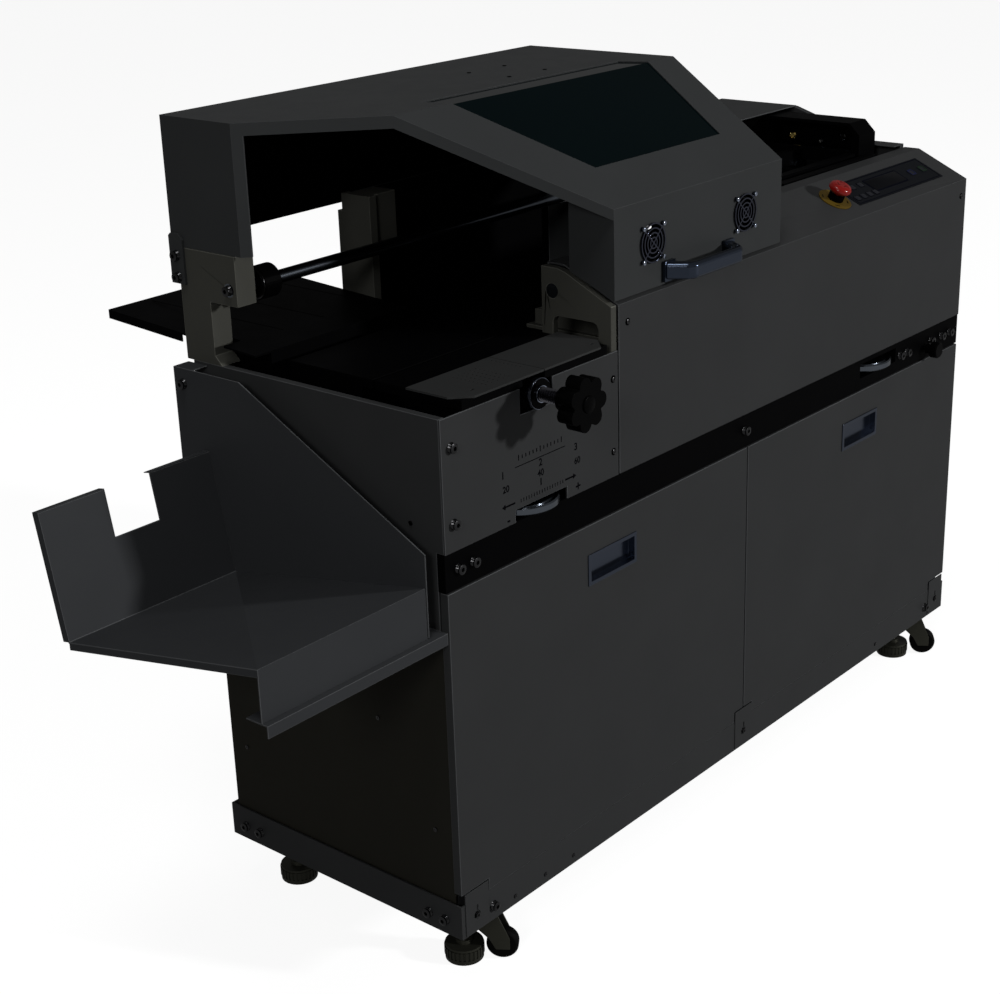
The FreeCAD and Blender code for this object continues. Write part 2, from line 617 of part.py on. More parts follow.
def cabinet_frame():
    """Welded base pan with corner posts and a rim that carries the side plates."""
    body = new_body("cabinet_frame")
    back = d.body_depth
    right = d.body_length
    pad(body, "XY", ZERO, d.rail_height, rectangle(ZERO, d.pan_front, right, back))
    cut(body, "XY", d.pan_wall, d.rail_height,
        rectangle(d.pan_wall, d.pan_front + d.pan_wall, right - d.pan_wall, back - d.pan_wall))
    near = d.post_inset
    far = near + d.post_side
    front = d.door_depth + d.sheet
    columns = [(near, front), (right - far, front), (near, back - far), (right - far, back - far)]
    posts = [rectangle(x, y, x + d.post_side, y + d.post_side) for x, y in columns]
    pad(body, "XY", d.pan_wall, d.band_high - d.pan_wall, *posts)
    middle = d.door_split - d.post_side / 2
    pad(body, "XY", d.pan_wall, d.band_low - d.pan_wall,
        rectangle(middle, front, middle + d.post_side, front + d.post_side))
    pad(body, "XY", d.band_low - d.post_side, d.post_side,
        rectangle(near, front, right - near, front + d.post_side))
    pad(body, "XY", d.band_low, d.band_high - d.band_low,
        rectangle(near, front, far, back - near),
        rectangle(right - far, front, right - near, back - near))
    pad(body, "XY", d.band_low, d.band_high - d.band_low,
        rectangle(near, back - far, right - near, back - near))
    tabs = [rectangle(left, d.tab_low, left + d.tab_width, d.tab_high) for left, _ in tab_places()]
    pad(body, "XZ", d.pan_front - d.tab_thick, d.tab_thick, *tabs)
    for _, x in tab_places():
        cut(body, "XZ", d.pan_front - d.tab_thick, d.tab_thick,
            circle(x, d.keyhole_z, d.keyhole_radius))
        cut(body, "XZ", d.pan_front - d.tab_thick, d.tab_thick,
            rectangle(x - d.keyhole_slot / 2, d.keyhole_z, x + d.keyhole_slot / 2, d.keyhole_top))
    return body


def lower_end_panels():
    """Recessed sheets that close the two ends of the cabinet below the side plates."""
    sheets = []
    for side, left in (("left", d.lower_panel_recess),
                       ("right", d.body_length - d.lower_panel_recess - d.sheet)):
        sheets.append(prism(f"{side}_lower_panel", "XY", d.rail_height + d.seat_gap,
                            d.side_plate_low - d.rail_height - d.seat_gap * 2,
                            rectangle(left, d.door_depth + d.seat_gap, left + d.sheet,
                                      d.body_depth - d.post_inset - d.seat_gap)))
    group = boolean("Compound", "lower_end_panels", *sheets)
    at(group)
    return keep(group, "lower_end_panels")


def rear_panel():
    """Sheet that closes the back of the cabinet."""
    body = new_body("rear_panel")
    back = d.body_depth - d.post_inset
    pad(body, "XY", d.rail_height + d.seat_gap,
        d.bed_low - d.rail_height - d.seat_gap * 2,
        rectangle(d.side_plate_thick, back, d.body_length - d.side_plate_thick, back + d.sheet))
    return body


def left_side_plate():
    """Thick end plate that carries the tray, the post and the bed."""
    body = new_body("left_side_plate")
    back = d.door_depth + d.sheet
    pad(body, "YZ", ZERO, d.side_plate_thick,
        [(back, d.side_plate_low), (back, d.band_high), (d.panel_gap, d.band_high),
         (d.panel_gap, d.side_top), (d.side_rear, d.side_top), (d.side_rear, d.side_plate_low)])
    return body


def right_side_plate():
    """Thick end plate whose top edge follows the folded front panel and the rear deck."""
    body = new_body("right_side_plate")
    inner = d.sheet + d.seat_gap
    deck_rear = d.slope_depth + d.deck_flat
    outline = [
        (d.door_depth + d.sheet, d.side_plate_low), (d.door_depth + d.sheet, d.band_high),
        (inner, d.band_high), (inner, d.panel_fold - inner),
        (d.slope_depth, d.deck_top - inner), (deck_rear - inner, d.deck_top - inner),
        (deck_rear - inner, d.deck_top - d.deck_lip - inner),
        (deck_rear + inner, d.deck_top - d.deck_lip - inner), (deck_rear + inner, d.end_shelf_z),
        (d.end_shelf_rear, d.end_shelf_z),
        (d.rear_deck_front, d.rear_deck_top - d.sheet), (d.side_rear, d.rear_deck_top - d.sheet),
        (d.side_rear, d.side_plate_low)]
    pad(body, "YZ", d.body_length - d.side_plate_thick, d.side_plate_thick, outline)
    pad(body, "XY", d.end_shelf_z - d.sheet, d.sheet,
        rectangle(d.body_length - d.side_plate_thick - d.end_shelf_width, deck_rear + inner,
                  d.body_length, d.end_shelf_rear))
    return body


def front_band():
    """Recessed black bar across the front, slotted for the glue handwheel."""
    body = new_body("front_band")
    pad(body, "XZ", d.band_recess, d.band_thick,
        rectangle(ZERO, d.band_low, d.body_length, d.band_high))
    cut(body, "XZ", d.band_recess, d.band_thick,
        rectangle(d.right_wheel_x - d.band_slot_half, d.band_slot_low,
                  d.right_wheel_x + d.band_slot_half, d.band_slot_high))
    return body


def small_front_panel():
    """Left front sheet, notched for the spindle and slotted for the thickness handwheel."""
    body = new_body("small_front_panel")
    pad(body, "XZ", ZERO, d.panel_gap,
        rectangle(ZERO, d.band_high, d.small_panel_right, d.side_top))
    cut(body, "XZ", ZERO, d.panel_gap,
        rectangle(d.notch_left, d.notch_low, d.notch_right, d.side_top + d.sheet))
    cut(body, "XZ", ZERO, d.panel_gap,
        rectangle(d.left_wheel_x - d.wheel_slot_half, d.band_high - d.sheet,
                  d.left_wheel_x + d.wheel_slot_half, d.wheel_slot_top))
    return body


def main_front_panel():
    """Large front sheet, folded back into the sloping control panel."""
    body = new_body("main_front_panel")
    skin = d.sheet
    rear = d.slope_depth + d.deck_flat
    outline = [
        (ZERO, d.band_high), (ZERO, d.panel_fold), (d.slope_depth, d.deck_top), (rear, d.deck_top),
        (rear, d.deck_top - d.deck_lip), (rear - skin, d.deck_top - d.deck_lip),
        (rear - skin, d.deck_top - skin), (d.slope_depth + skin / 4, d.deck_top - skin),
        (skin, d.panel_fold - skin / 2), (skin, d.band_high)]
    pad(body, "YZ", d.main_panel_left, d.body_length - d.main_panel_left, outline)
    return body


def machine_bed():
    """Bed plate with its wells, the slideways of the nip jaw and the block under the table."""
    body = new_body("machine_bed")
    left = d.side_plate_thick
    right = d.body_length - d.side_plate_thick
    pad(body, "XY", d.bed_low, d.bed_top - d.bed_low,
        rectangle(left, d.bed_margin, right, d.body_depth - d.post_inset))
    tank_right = d.tank_left + d.tank_width
    tank_rear = d.tank_front + d.tank_depth
    shaft_room = d.wheel_shaft + d.well_gap
    cut(body, "XY", d.bed_low, d.bed_top - d.bed_low,
        rectangle(d.tank_left - d.well_gap, d.tank_front - d.well_gap,
                  tank_right + d.well_gap, tank_rear + d.well_gap),
        circle(d.cutter_x, d.cutter_y, d.cutter_shaft * 2),
        circle(d.left_wheel_x, d.wheel_y, shaft_room),
        circle(d.right_wheel_x, d.wheel_y, shaft_room))
    ways = [rectangle(x, d.slide_front, x + d.slide_width, d.slide_rear)
            for x in (d.slide_left_x, d.slide_right_x)]
    pad(body, "XY", d.bed_top, d.nip_low - d.bed_top, *ways)
    half = d.nip_lug_width / 2
    pad(body, "XY", d.bed_top, d.nip_low - d.bed_top - d.sheet,
        rectangle(d.knob_x - half, d.bed_margin, d.knob_x + half, d.bed_margin + d.spindle_block))
    cut(body, "XZ", d.bed_margin, d.spindle_block,
        circle(d.knob_x, d.knob_z, d.spindle_radius + d.running_fit))
    rise = (d.table_rear_z - d.table_front_z) / (d.table_rear - d.table_front)
    front = d.table_front + d.table_sheet
    rear = d.body_depth - d.post_inset
    front_z = d.table_front_z + rise * (front - d.table_front) - d.table_sheet
    rear_z = d.table_front_z + rise * (rear - d.table_front) - d.table_sheet
    pad(body, "YZ", d.post_width + d.well_gap, d.table_right - d.post_width - d.well_gap,
        [(front, d.bed_top), (front, front_z), (rear, rear_z), (rear, d.bed_top)])
    return body


def rear_deck():
    """Sheet housing over the rear guide, to the right of the cover."""
    body = new_body("rear_deck")
    skin = d.sheet
    left = d.cover_right + d.hinge_gap + d.hinge_plate
    pad(body, "XY", d.rear_deck_low, d.rear_deck_top - d.rear_deck_low,
        rectangle(left, d.rear_deck_front, d.rear_deck_right, d.rear_deck_rear))
    wall_front = d.bracket_front
    wall_right = d.body_length - d.side_plate_thick
    cut(body, "XY", d.rear_deck_low, d.rear_deck_top - d.rear_deck_low - skin,
        rectangle(left - skin, d.rear_deck_front - skin,
                  d.rear_deck_right + skin, wall_front))
    cut(body, "XY", d.rear_deck_low, d.rear_deck_top - d.rear_deck_low - skin,
        rectangle(left + skin, wall_front - skin,
                  wall_right - skin, d.rear_deck_rear - skin))
    cut(body, "XY", d.rear_deck_low, d.rear_deck_top - d.rear_deck_low - skin,
        rectangle(wall_right, wall_front - skin, d.rear_deck_right + skin, d.side_rear + skin))
    back = d.body_depth - d.post_inset
    pad(body, "XY", d.bed_top, d.rear_deck_low - d.bed_top + skin,
        rectangle(left, wall_front, left + skin, back))
    wall_left = d.bracket_left + d.bracket_thick + d.seat_gap
    pad(body, "XY", d.bed_top, d.back_wall_top - d.bed_top,
        rectangle(wall_left, back - skin, d.cover_right - d.cover_sheet * 2, back))
    pad(body, "XY", d.bed_top, d.hinge_plate_low - d.seat_gap - d.bed_top,
        rectangle(d.cover_right - d.cover_sheet * 3, back - skin, left + skin, back))
    return body


# Delivery side

def slope_z(y):
    """Height of the tray floor above a place along Y."""
    fall = (d.tray_front_z - d.tray_rear_z) / (d.tray_rear - d.tray_front)
    return d.tray_front_z - fall * (y - d.tray_front)


def chute_plate():
    """Sheet that stands off the end plate and guides books down into the tray."""
    body = new_body("chute_plate")
    outline = [
        (d.chute_rear, d.chute_low), (d.chute_rear, d.chute_top),
        (d.chute_flat_front, d.chute_top), (d.chute_nose, d.chute_nose_top),
        (d.chute_nose, d.chute_low)]
    pad(body, "YZ", -d.chute_offset, d.chute_sheet, outline)
    pad(body, "YZ", -d.chute_offset, d.chute_offset,
        rectangle(d.side_rear, d.chute_low, d.chute_rear, d.chute_low + d.chute_sheet),
        rectangle(d.side_rear - d.post_side, d.chute_top - d.chute_sheet, d.chute_rear, d.chute_top))
    return body


def delivery_tray():
    """Folded tray: sloping floor, rear fence with a hand notch, front skirt."""
    body = new_body("delivery_tray")
    outer = -(d.chute_offset + d.tray_width)
    skin = d.chute_sheet
    run = d.tray_rear - d.tray_front
    fall = d.tray_front_z - d.tray_rear_z
    slant = root(run * run + fall * fall)
    lean = fall / slant
    upright = run / slant
    top_y = d.tray_rear + d.fence_height * lean
    top_z = d.tray_rear_z + d.fence_height * upright
    thick_y = skin * upright
    thick_z = skin * lean
    outline = [
        (d.tray_front, d.ledge_z), (d.tray_front, d.tray_front_z), (d.tray_rear, d.tray_rear_z),
        (top_y, top_z), (top_y + thick_y, top_z - thick_z),
        (d.tray_rear + thick_y, d.tray_rear_z - skin - thick_z),
        (d.tray_front + skin, d.tray_front_z - skin - thick_z), (d.tray_front + skin, d.ledge_z)]
    pad(body, "YZ", outer, d.tray_width, outline)
    centre = outer + d.tray_width / 2
    notch_z = top_z - d.fence_notch_depth
    cut(body, "XZ", d.tray_rear - skin, d.fence_height,
        rectangle(centre - d.fence_notch_width / 2, notch_z,
                  centre + d.fence_notch_width / 2, top_z + skin))
    pad(body, "YZ", outer, skin,
        [(d.tray_front + skin, d.tray_front_z - skin), (d.tray_rear, d.tray_rear_z - skin),
         (d.tray_rear, d.tray_rear_z - d.tray_lip),
         (d.tray_front + skin, d.tray_front_z - d.tray_lip)])
    return body


def tray_ledge():
    """Angle that the tray's skirt stands on, welded along the end of the cabinet."""
    body = new_body("tray_ledge")
    outer = -(d.chute_offset + d.tray_width)
    skin = d.chute_sheet
    rear = d.ledge_front + d.ledge_depth
    outline = [
        (d.ledge_front, d.ledge_z), (rear, d.ledge_z), (rear, d.ledge_z - skin),
        (d.ledge_front + skin, d.ledge_z - skin), (d.ledge_front + skin, d.ledge_z - d.ledge_drop),
        (d.ledge_front, d.ledge_z - d.ledge_drop)]
    pad(body, "YZ", outer, d.chute_offset + d.tray_width, outline)
    return body


# Castings, rods and the table

def rear_post():
    """Left rear casting: leg, bored head for the guide rod and a foot on the end plate."""
    body = new_body("rear_post")
    outline = [
        (d.post_leg_front - d.post_foot, d.side_top), (d.post_leg_front, d.side_top + d.post_foot),
        (d.post_leg_front, d.post_block_low), (d.post_front, d.post_block_low),
        (d.post_front, d.post_top), (d.post_rear, d.post_top), (d.post_rear, d.side_top)]
    pad(body, "YZ", ZERO, d.post_width, outline)
    cut(body, "YZ", ZERO, d.post_width, circle(d.rod_y, d.rod_z, d.rod_radius + d.running_fit))
    tenon = d.side_plate_thick + d.running_fit
    pad(body, "YZ", tenon, d.post_width - tenon,
        rectangle(d.post_leg_front, d.bed_top, d.body_depth - d.post_inset, d.side_top + d.sheet))
    return body


def rear_bracket():
    """Rear casting beside the table, with a broad head under the cover and a step at its back."""
    body = new_body("rear_bracket")
    step = d.cover_side_low - d.bolt_head
    outline = [
        (d.bracket_front, d.bed_top), (d.bracket_front, d.back_wall_top),
        (d.back_wall_rear, d.back_wall_top), (d.back_wall_rear, step), (d.bracket_rear, step),
        (d.bracket_rear, d.bed_top)]
    pad(body, "YZ", d.bracket_left, d.bracket_thick, outline)
    head_front = d.bracket_front + d.bracket_head_gap
    wall_front = d.body_depth - d.post_inset - d.sheet
    pad(body, "YZ", d.bracket_left + d.seat_gap, d.bracket_head_width - d.seat_gap,
        rectangle(head_front, d.bracket_head_low, wall_front - d.seat_gap, d.back_wall_top))
    return body


def mid_casting():
    """Front casting between the nip station and the glue side, windowed and bored."""
    body = new_body("mid_casting")
    base_z = d.panel_fold - d.casting_gap / 4
    outline = [
        (d.panel_gap, d.bed_top), (d.panel_gap, base_z),
        (d.casting_bend, d.casting_top - d.casting_gap),
        (d.casting_bend + d.casting_gap * 4, d.casting_top), (d.casting_depth, d.casting_top),
        (d.casting_depth, d.bed_top)]
    pad(body, "YZ", d.casting_left, d.casting_thick, outline)
    cut(body, "YZ", d.casting_left, d.casting_thick,
        soft_rectangle(d.window_front, d.window_low, d.window_rear, d.window_high, d.window_corner))
    cut(body, "YZ", d.casting_left, d.casting_thick,
        circle(d.front_rod_y, d.front_rod_z, d.front_rod_radius + d.running_fit))
    return body


def guide_rods():
    """Rear and front guide rods, and the stop collar on the rear one."""
    right = d.body_length - d.side_plate_thick
    rear = prism("rear_rod", "YZ", ZERO, right, circle(d.rod_y, d.rod_z, d.rod_radius))
    front = prism("front_rod", "YZ", d.casting_left, right - d.casting_left,
                  circle(d.front_rod_y, d.front_rod_z, d.front_rod_radius))
    ring = prism("collar_ring", "YZ", d.collar_left, d.collar_width,
                 circle(d.rod_y, d.rod_z, d.collar_radius),
                 circle(d.rod_y, d.rod_z, d.rod_radius + d.running_fit))
    group = boolean("Compound", "guide_rods", rear, front, ring)
    at(group)
    return keep(group, "guide_rods")


def cover_feed_table():
    """Sloping sheet that holds the stack of covers, reaching out behind the machine."""
    body = new_body("cover_feed_table")
    skin = d.table_sheet
    outline = [
        (d.table_front, d.table_front_z), (d.table_rear, d.table_rear_z),
        (d.table_rear, d.table_rear_z - skin), (d.table_front, d.table_front_z - skin)]
    post_room = d.post_width + d.well_gap
    pad(body, "YZ", d.table_left, d.table_right - d.table_left, outline)
    cut(body, "XY", d.table_front_z - skin * 2, d.table_rear_z - d.table_front_z + skin * 4,
        rectangle(d.table_left - skin, d.post_leg_front - d.post_foot - d.well_gap,
                  post_room, d.post_rear + d.well_gap))
    rise = (d.table_rear_z - d.table_front_z) / (d.table_rear - d.table_front)
    start = d.post_rear + d.post_foot
    start_z = d.table_front_z + rise * (start - d.table_front)
    pad(body, "YZ", d.table_left, d.sheet,
        [(start, start_z - skin / 2), (d.table_rear, d.table_rear_z - skin / 2),
         (d.table_rear, d.table_rear_z - d.table_flange), (start, start_z - d.table_flange)])
    return body


# Cover

def cover_slope_z(y, drop):
    """Height of the cover's sloping face above a place along Y, lowered by drop."""
    rise = (d.cover_top - d.cover_fold_z) / d.cover_fold_y
    return d.cover_fold_z + rise * y - drop


def cover_profile(inset, low):
    """Side outline of the cover, drawn in by inset and open down to low."""
    return [
        (inset, low), (inset, cover_slope_z(inset, inset)),
        (d.cover_fold_y + inset / 4, d.cover_top - inset),
        (d.cover_depth - inset, d.cover_top - inset), (d.cover_depth - inset, low)]


def cover_plan(inset):
    """Plan of the cover, cut off at an angle over the delivery end."""
    return [
        (inset, d.cover_corner_y + inset), (d.cover_nose + inset, inset),
        (d.cover_right - inset, inset), (d.cover_right - inset, d.cover_depth - inset),
        (inset, d.cover_depth - inset)]


def window_plan(lap):
    """Plan of the window opening, enlarged by lap."""
    return [
        (d.window_base_left - lap, d.window_base_y - lap),
        (d.window_base_right + lap, d.window_base_y - lap),
        (d.window_fold_right + lap, d.cover_fold_y),
        (d.window_back_right + lap, d.window_back_y + lap),
        (d.window_back_left - lap, d.window_back_y + lap),
        (d.window_fold_left - lap, d.cover_fold_y)]


def cover_shell():
    """Folded sheet cover, open below, over the delivery end and where the carriage passes."""
    low = d.cover_front_low
    tall = d.cover_top - low
    skin = d.cover_sheet
    far = d.cover_right
    block = prism("cover_block", "YZ", ZERO, far, cover_profile(ZERO, low))
    trimmed = boolean("MultiCommon", "cover_trimmed", block,
                      prism("cover_cut_plan", "XY", low, tall, cover_plan(ZERO)))
    space = boolean("MultiCommon", "cover_space",
                    prism("room_profile", "YZ", ZERO, far, cover_profile(skin, low - skin)),
                    prism("room_plan", "XY", low - skin, tall, cover_plan(skin)))
    room = boolean("Cut", "cover_room", space,
                   prism("cheek_wall", "YZ", d.cover_nose, skin,
                         rectangle(-skin, low - skin * 2, d.cover_cheek_depth, d.cover_top + skin)))
    hollow = boolean("Cut", "cover_hollow", trimmed, room)
    slant_x = d.cover_nose / d.cover_corner_y
    stile_y = d.cover_corner_y - d.cover_stile / root(slant_x * slant_x + 1)
    stile_x = (d.cover_corner_y - stile_y) * slant_x
    mouth = boolean("MultiCommon", "cover_mouth",
                    prism("mouth_profile", "YZ", ZERO, far,
                          [(-skin, low - skin), (-skin, cover_slope_z(ZERO, d.cover_flange)),
                           (d.cover_fold_y, d.cover_top - d.cover_flange),
                           (d.cover_corner_y, d.cover_top - d.cover_flange),
                           (d.cover_corner_y, low - skin)]),
                    prism("mouth_plan", "XY", low - skin, tall,
                          [(stile_x - skin, stile_y - skin), (d.cover_nose - skin, -skin),
                           (d.cover_nose, -skin), (d.cover_nose, d.cover_cheek_depth),
                           (stile_x + skin * 4, stile_y + skin)]))
    side_clear = prism("side_clear", "XY", low - skin, d.cover_side_low - low + skin,
                       rectangle(-skin, d.cover_cheek_depth, d.cover_nose + skin * 3,
                                 d.cover_depth + skin))
    cheek_clear = prism("cheek_clear", "YZ", d.cover_nose - skin, skin * 3,
                        [(skin, low - skin), (skin, low), (d.cover_cheek_depth, d.cover_cheek_rear_z),
                         (d.cover_cheek_depth + skin, low - skin)])
    rear_clear = prism("rear_clear", "XY", low - skin, d.cover_side_low - low + skin,
                       rectangle(-skin, d.cover_arch_rear, far + skin, d.cover_depth + skin))
    arch = prism("cover_arch", "YZ", far - skin * 2, skin * 4,
                 [(d.cover_arch_front, low - skin),
                  (d.cover_arch_front, d.cover_arch_top - d.bolt_head),
                  (d.cover_arch_front + d.bolt_head, d.cover_arch_top),
                  (d.cover_arch_rear - d.bolt_head, d.cover_arch_top),
                  (d.cover_arch_rear, d.cover_arch_top - d.bolt_head), (d.cover_arch_rear, low - skin)])
    foot_rise = d.panel_fold - low + d.panel_gap * 2
    foot = prism("cover_foot", "YZ", far - skin * 2, skin * 4,
                 [(skin, low - skin), (skin, low),
                  (d.cover_arch_front + skin, d.cover_arch_low - foot_rise + d.panel_gap),
                  (d.cover_arch_front + skin, low - skin)])
    tool = boolean("MultiFuse", "cover_openings", mouth, side_clear, cheek_clear, rear_clear,
                   arch, foot)
    opened = boolean("Cut", "cover_opened", hollow, tool)
    pane = prism("window_opening", "XY", d.cover_fold_z, tall, window_plan(ZERO))
    fans = prism("fan_openings", "XZ", -skin, skin * 4,
                 circle(d.fan_left_x, d.fan_z, d.fan_hole), circle(d.fan_right_x, d.fan_z, d.fan_hole))
    pins = prism("pin_holes", "YZ", -skin, far + skin * 2,
                 circle(d.hinge_y, d.hinge_z, d.hinge_pin + d.running_fit))
    holes = boolean("MultiFuse", "cover_holes", pane, fans, pins)
    shell = boolean("Cut", "cover_shell", opened, holes)
    at(shell)
    return keep(shell, "cover_shell")


def cover_window():
    """Tinted pane under the opening, folded with the cover from slope to top."""
    skin = d.cover_sheet
    under = skin + d.glass_thick
    front = d.window_base_y - d.glass_lap
    rear = d.window_back_y + d.glass_lap
    sheet_profile = [
        (front, cover_slope_z(front, skin * slope_inset_share)),
        (d.cover_fold_y + skin / 4, d.cover_top - skin),
        (rear, d.cover_top - skin), (rear, d.cover_top - under),
        (d.cover_fold_y + under / 4, d.cover_top - under),
        (front, cover_slope_z(front, under * slope_inset_share))]
    band = prism("pane_band", "YZ", d.window_back_left - d.glass_lap * 2,
                 d.window_fold_right - d.window_back_left + d.glass_lap * 4, sheet_profile)
    plan = prism("pane_plan", "XY", d.cover_fold_z - under, d.cover_top - d.cover_fold_z + under,
                 window_plan(d.glass_lap))
    pane = boolean("MultiCommon", "cover_window", band, plan)
    at(pane)
    return keep(pane, "cover_window")


def fan_frames():
    """Two square fan housings behind the front sheet of the cover."""
    frames = []
    for side, x in (("left", d.fan_left_x), ("right", d.fan_right_x)):
        half = d.fan_side / 2
        bar = d.fan_hub / 6
        shell = prism(f"{side}_fan_frame", "XZ", d.cover_sheet, d.fan_depth,
                      rectangle(x - half, d.fan_z - half, x + half, d.fan_z + half),
                      circle(x, d.fan_z, d.fan_bore))
        spider = prism(f"{side}_fan_spider", "XZ", d.cover_sheet + d.fan_depth - bar, bar,
                       rectangle(x - half, d.fan_z - bar, x + half, d.fan_z + bar))
        frames.append(boolean("MultiFuse", f"{side}_fan_housing", shell, spider))
    group = boolean("Compound", "fan_frames", *frames)
    at(group)
    return keep(group, "fan_frames")


def fan_guards():
    """Wire finger guards: rings on cross arms, standing off the front sheet."""
    guards = []
    for side, x in (("left", d.fan_left_x), ("right", d.fan_right_x)):
        wires = []
        for index, share in enumerate(guard_ring_shares):
            middle = d.fan_hole * share
            wires.append(prism(f"{side}_ring_{index}", "XZ", -(d.guard_standoff + d.guard_wire),
                               d.guard_wire * 2, circle(x, d.fan_z, middle + d.guard_wire),
                               circle(x, d.fan_z, middle - d.guard_wire)))
        reach = d.fan_screw_pitch / 2
        thin = d.guard_wire * cross_share
        for index, lean in enumerate((1, -1)):
            wires.append(prism(
                f"{side}_arm_{index}", "XZ", -(d.guard_standoff + d.guard_wire), d.guard_wire * 2,
                [(x - reach, d.fan_z - reach * lean + thin),
                 (x - reach, d.fan_z - reach * lean - thin),
                 (x + reach, d.fan_z + reach * lean - thin),
                 (x + reach, d.fan_z + reach * lean + thin)]))
        feet = [circle(x + reach * sx, d.fan_z + reach * sz, d.guard_wire * 3)
                for sx in (1, -1) for sz in (1, -1)]
        wires.append(prism(f"{side}_feet", "XZ", -(d.guard_standoff + d.guard_wire),
                           d.guard_standoff + d.guard_wire, *feet))
        guards.append(boolean("MultiFuse", f"{side}_guard", *wires))
    group = boolean("Compound", "fan_guards", *guards)
    at(group)
    return keep(group, "fan_guards")


def fan_impeller(name, x):
    """Hub with seven slanting blades."""
    depth = d.fan_depth - d.fan_hub / 4 - d.seat_gap
    body = new_body(name, x, d.cover_sheet + d.fan_hub / 12, d.fan_z)
    turn(body, (1, 0, 0), -90)
    pad(body, "XY", ZERO, depth, circle(ZERO, ZERO, d.fan_hub))
    lean = depth * half_share
    root_x = d.fan_hub * blade_root_share
    blade = pad(body, "YZ", root_x, d.fan_tip - root_x,
                [(-lean, ZERO), (-lean + d.guard_wire * 2, ZERO), (lean, depth),
                 (lean - d.guard_wire * 2, depth)])
    polar(body, blade, 7)
    return body


def pull_handle():
    """Bow handle below the fans: a rounded bar bent back to two flared feet on the cover."""
    body = new_body("pull_handle")
    left = d.handle_x - d.handle_length / 2
    right = d.handle_x + d.handle_length / 2
    knee = d.handle_foot
    toe = knee * handle_foot_share
    bend = knee * handle_knee_share
    start = knee * handle_bend_share
    inner = knee * handle_inner_share
    out = -d.handle_reach
    half = d.handle_height / 2
    pad(body, "XY", d.handle_z - half, d.handle_height,
        [(left, ZERO), (left, -toe), (left + bend, out + toe), (left + start, out),
         (right - start, out), (right - bend, out + toe), (right, -toe), (right, ZERO),
         (right - knee, ZERO), (right - inner, out + d.handle_bar),
         (left + inner, out + d.handle_bar), (left + knee, ZERO)])
    foot = -toe.value
    round_edges(body, d.handle_bend,
                lambda edge: upright(edge) and edge.BoundBox.YMax < foot)
    round_edges(body, d.handle_round,
                lambda edge: not upright(edge) and edge.BoundBox.YMin < foot / 2)
    flare = d.handle_height / 2 + d.handle_flare / 2
    pad(body, "XZ", -d.handle_flare_depth, d.handle_flare_depth,
        rectangle(left - d.handle_flare / 2, d.handle_z - flare, left + knee, d.handle_z + flare),
        rectangle(right - knee, d.handle_z - flare, right + d.handle_flare / 2,
                  d.handle_z + flare))
    return body


def hinge_brackets():
    """Two plates with the pins that the cover swings on."""
    plates = []
    top = d.hinge_plate_high
    front = d.hinge_plate_front
    rear = d.hinge_plate_rear
    for side, start, pin_start in (
            ("left", -(d.hinge_plate + d.hinge_gap), -(d.hinge_plate + d.hinge_gap)),
            ("right", d.cover_right + d.hinge_gap, d.cover_right - d.cover_sheet * 2)):
        plate = prism(f"{side}_hinge_plate", "YZ", start, d.hinge_plate,
                      [(front, d.hinge_plate_low), (front, top - d.bolt_head),
                       (front + d.bolt_head, top), (rear - d.bolt_head / 2, top),
                       (rear, top - d.bolt_head / 2), (rear, d.hinge_plate_low)])
        pin = prism(f"{side}_hinge_pin", "YZ", pin_start,
                    d.hinge_plate + d.cover_sheet * 2 + d.hinge_gap,
                    circle(d.hinge_y, d.hinge_z, d.hinge_pin))
        plates.append(boolean("MultiFuse", f"{side}_hinge_bracket", plate, pin))
    group = boolean("Compound", "hinge_brackets", *plates)
    at(group)
    return keep(group, "hinge_brackets")


# Doors

def door(name, left, right):
    """Folded door that stands on the base rail, its lower corners cut out round the rail's tabs."""
    body = new_body(name)
    skin = d.door_sheet
    low = d.rail_height + d.seat_gap
    tab_half = d.tab_width / 2 + d.door_gap
    notch_left = d.tab_edge + tab_half * 2
    notch_right = d.door_split - tab_half
    if left.value > d.door_split.value:
        notch_left = d.door_split + tab_half
        notch_right = d.body_length - d.tab_edge - tab_half * 2
    step = d.tab_high + d.door_gap

    def outline(inset):
        return [
            (left + inset, step + inset), (notch_left + inset, step + inset),
            (notch_left + inset, low + inset), (notch_right - inset, low + inset),
            (notch_right - inset, step + inset), (right - inset, step + inset),
            (right - inset, d.door_high - inset), (left + inset, d.door_high - inset)]

    pad(body, "XZ", ZERO, d.door_depth, outline(ZERO))
    cut(body, "XZ", skin, d.door_depth, outline(skin))
    middle = (left + right) / 2
    half_width = d.pull_width / 2 - d.pull_rim / 2
    half_height = d.pull_height / 2 - d.pull_rim / 2
    cut(body, "XZ", ZERO, skin,
        rectangle(middle - half_width, d.pull_z - half_height, middle + half_width,
                  d.pull_z + half_height))
    return body


def door_pull(name, left, right):
    """Recessed pull: a rim on the door skin around a closed pocket."""
    body = new_body(name)
    middle = (left + right) / 2
    wide = d.pull_width / 2
    high = d.pull_height / 2
    rim = d.pull_rim
    pad(body, "XZ", -d.pull_proud, d.pull_proud,
        rectangle(middle - wide, d.pull_z - high, middle + wide, d.pull_z + high))
    inner_wide = wide - rim / 2 - d.key_gap
    inner_high = high - rim / 2 - d.key_gap
    pad(body, "XZ", ZERO, d.pull_pocket,
        rectangle(middle - inner_wide, d.pull_z - inner_high,
                  middle + inner_wide, d.pull_z + inner_high))
    wall = d.pull_wall
    cut(body, "XZ", -d.pull_proud, d.pull_pocket + d.pull_proud - wall,
        rectangle(middle - wide + rim, d.pull_z - high + rim,
                  middle + wide - rim, d.pull_z + high - rim))
    return body


# Nip station

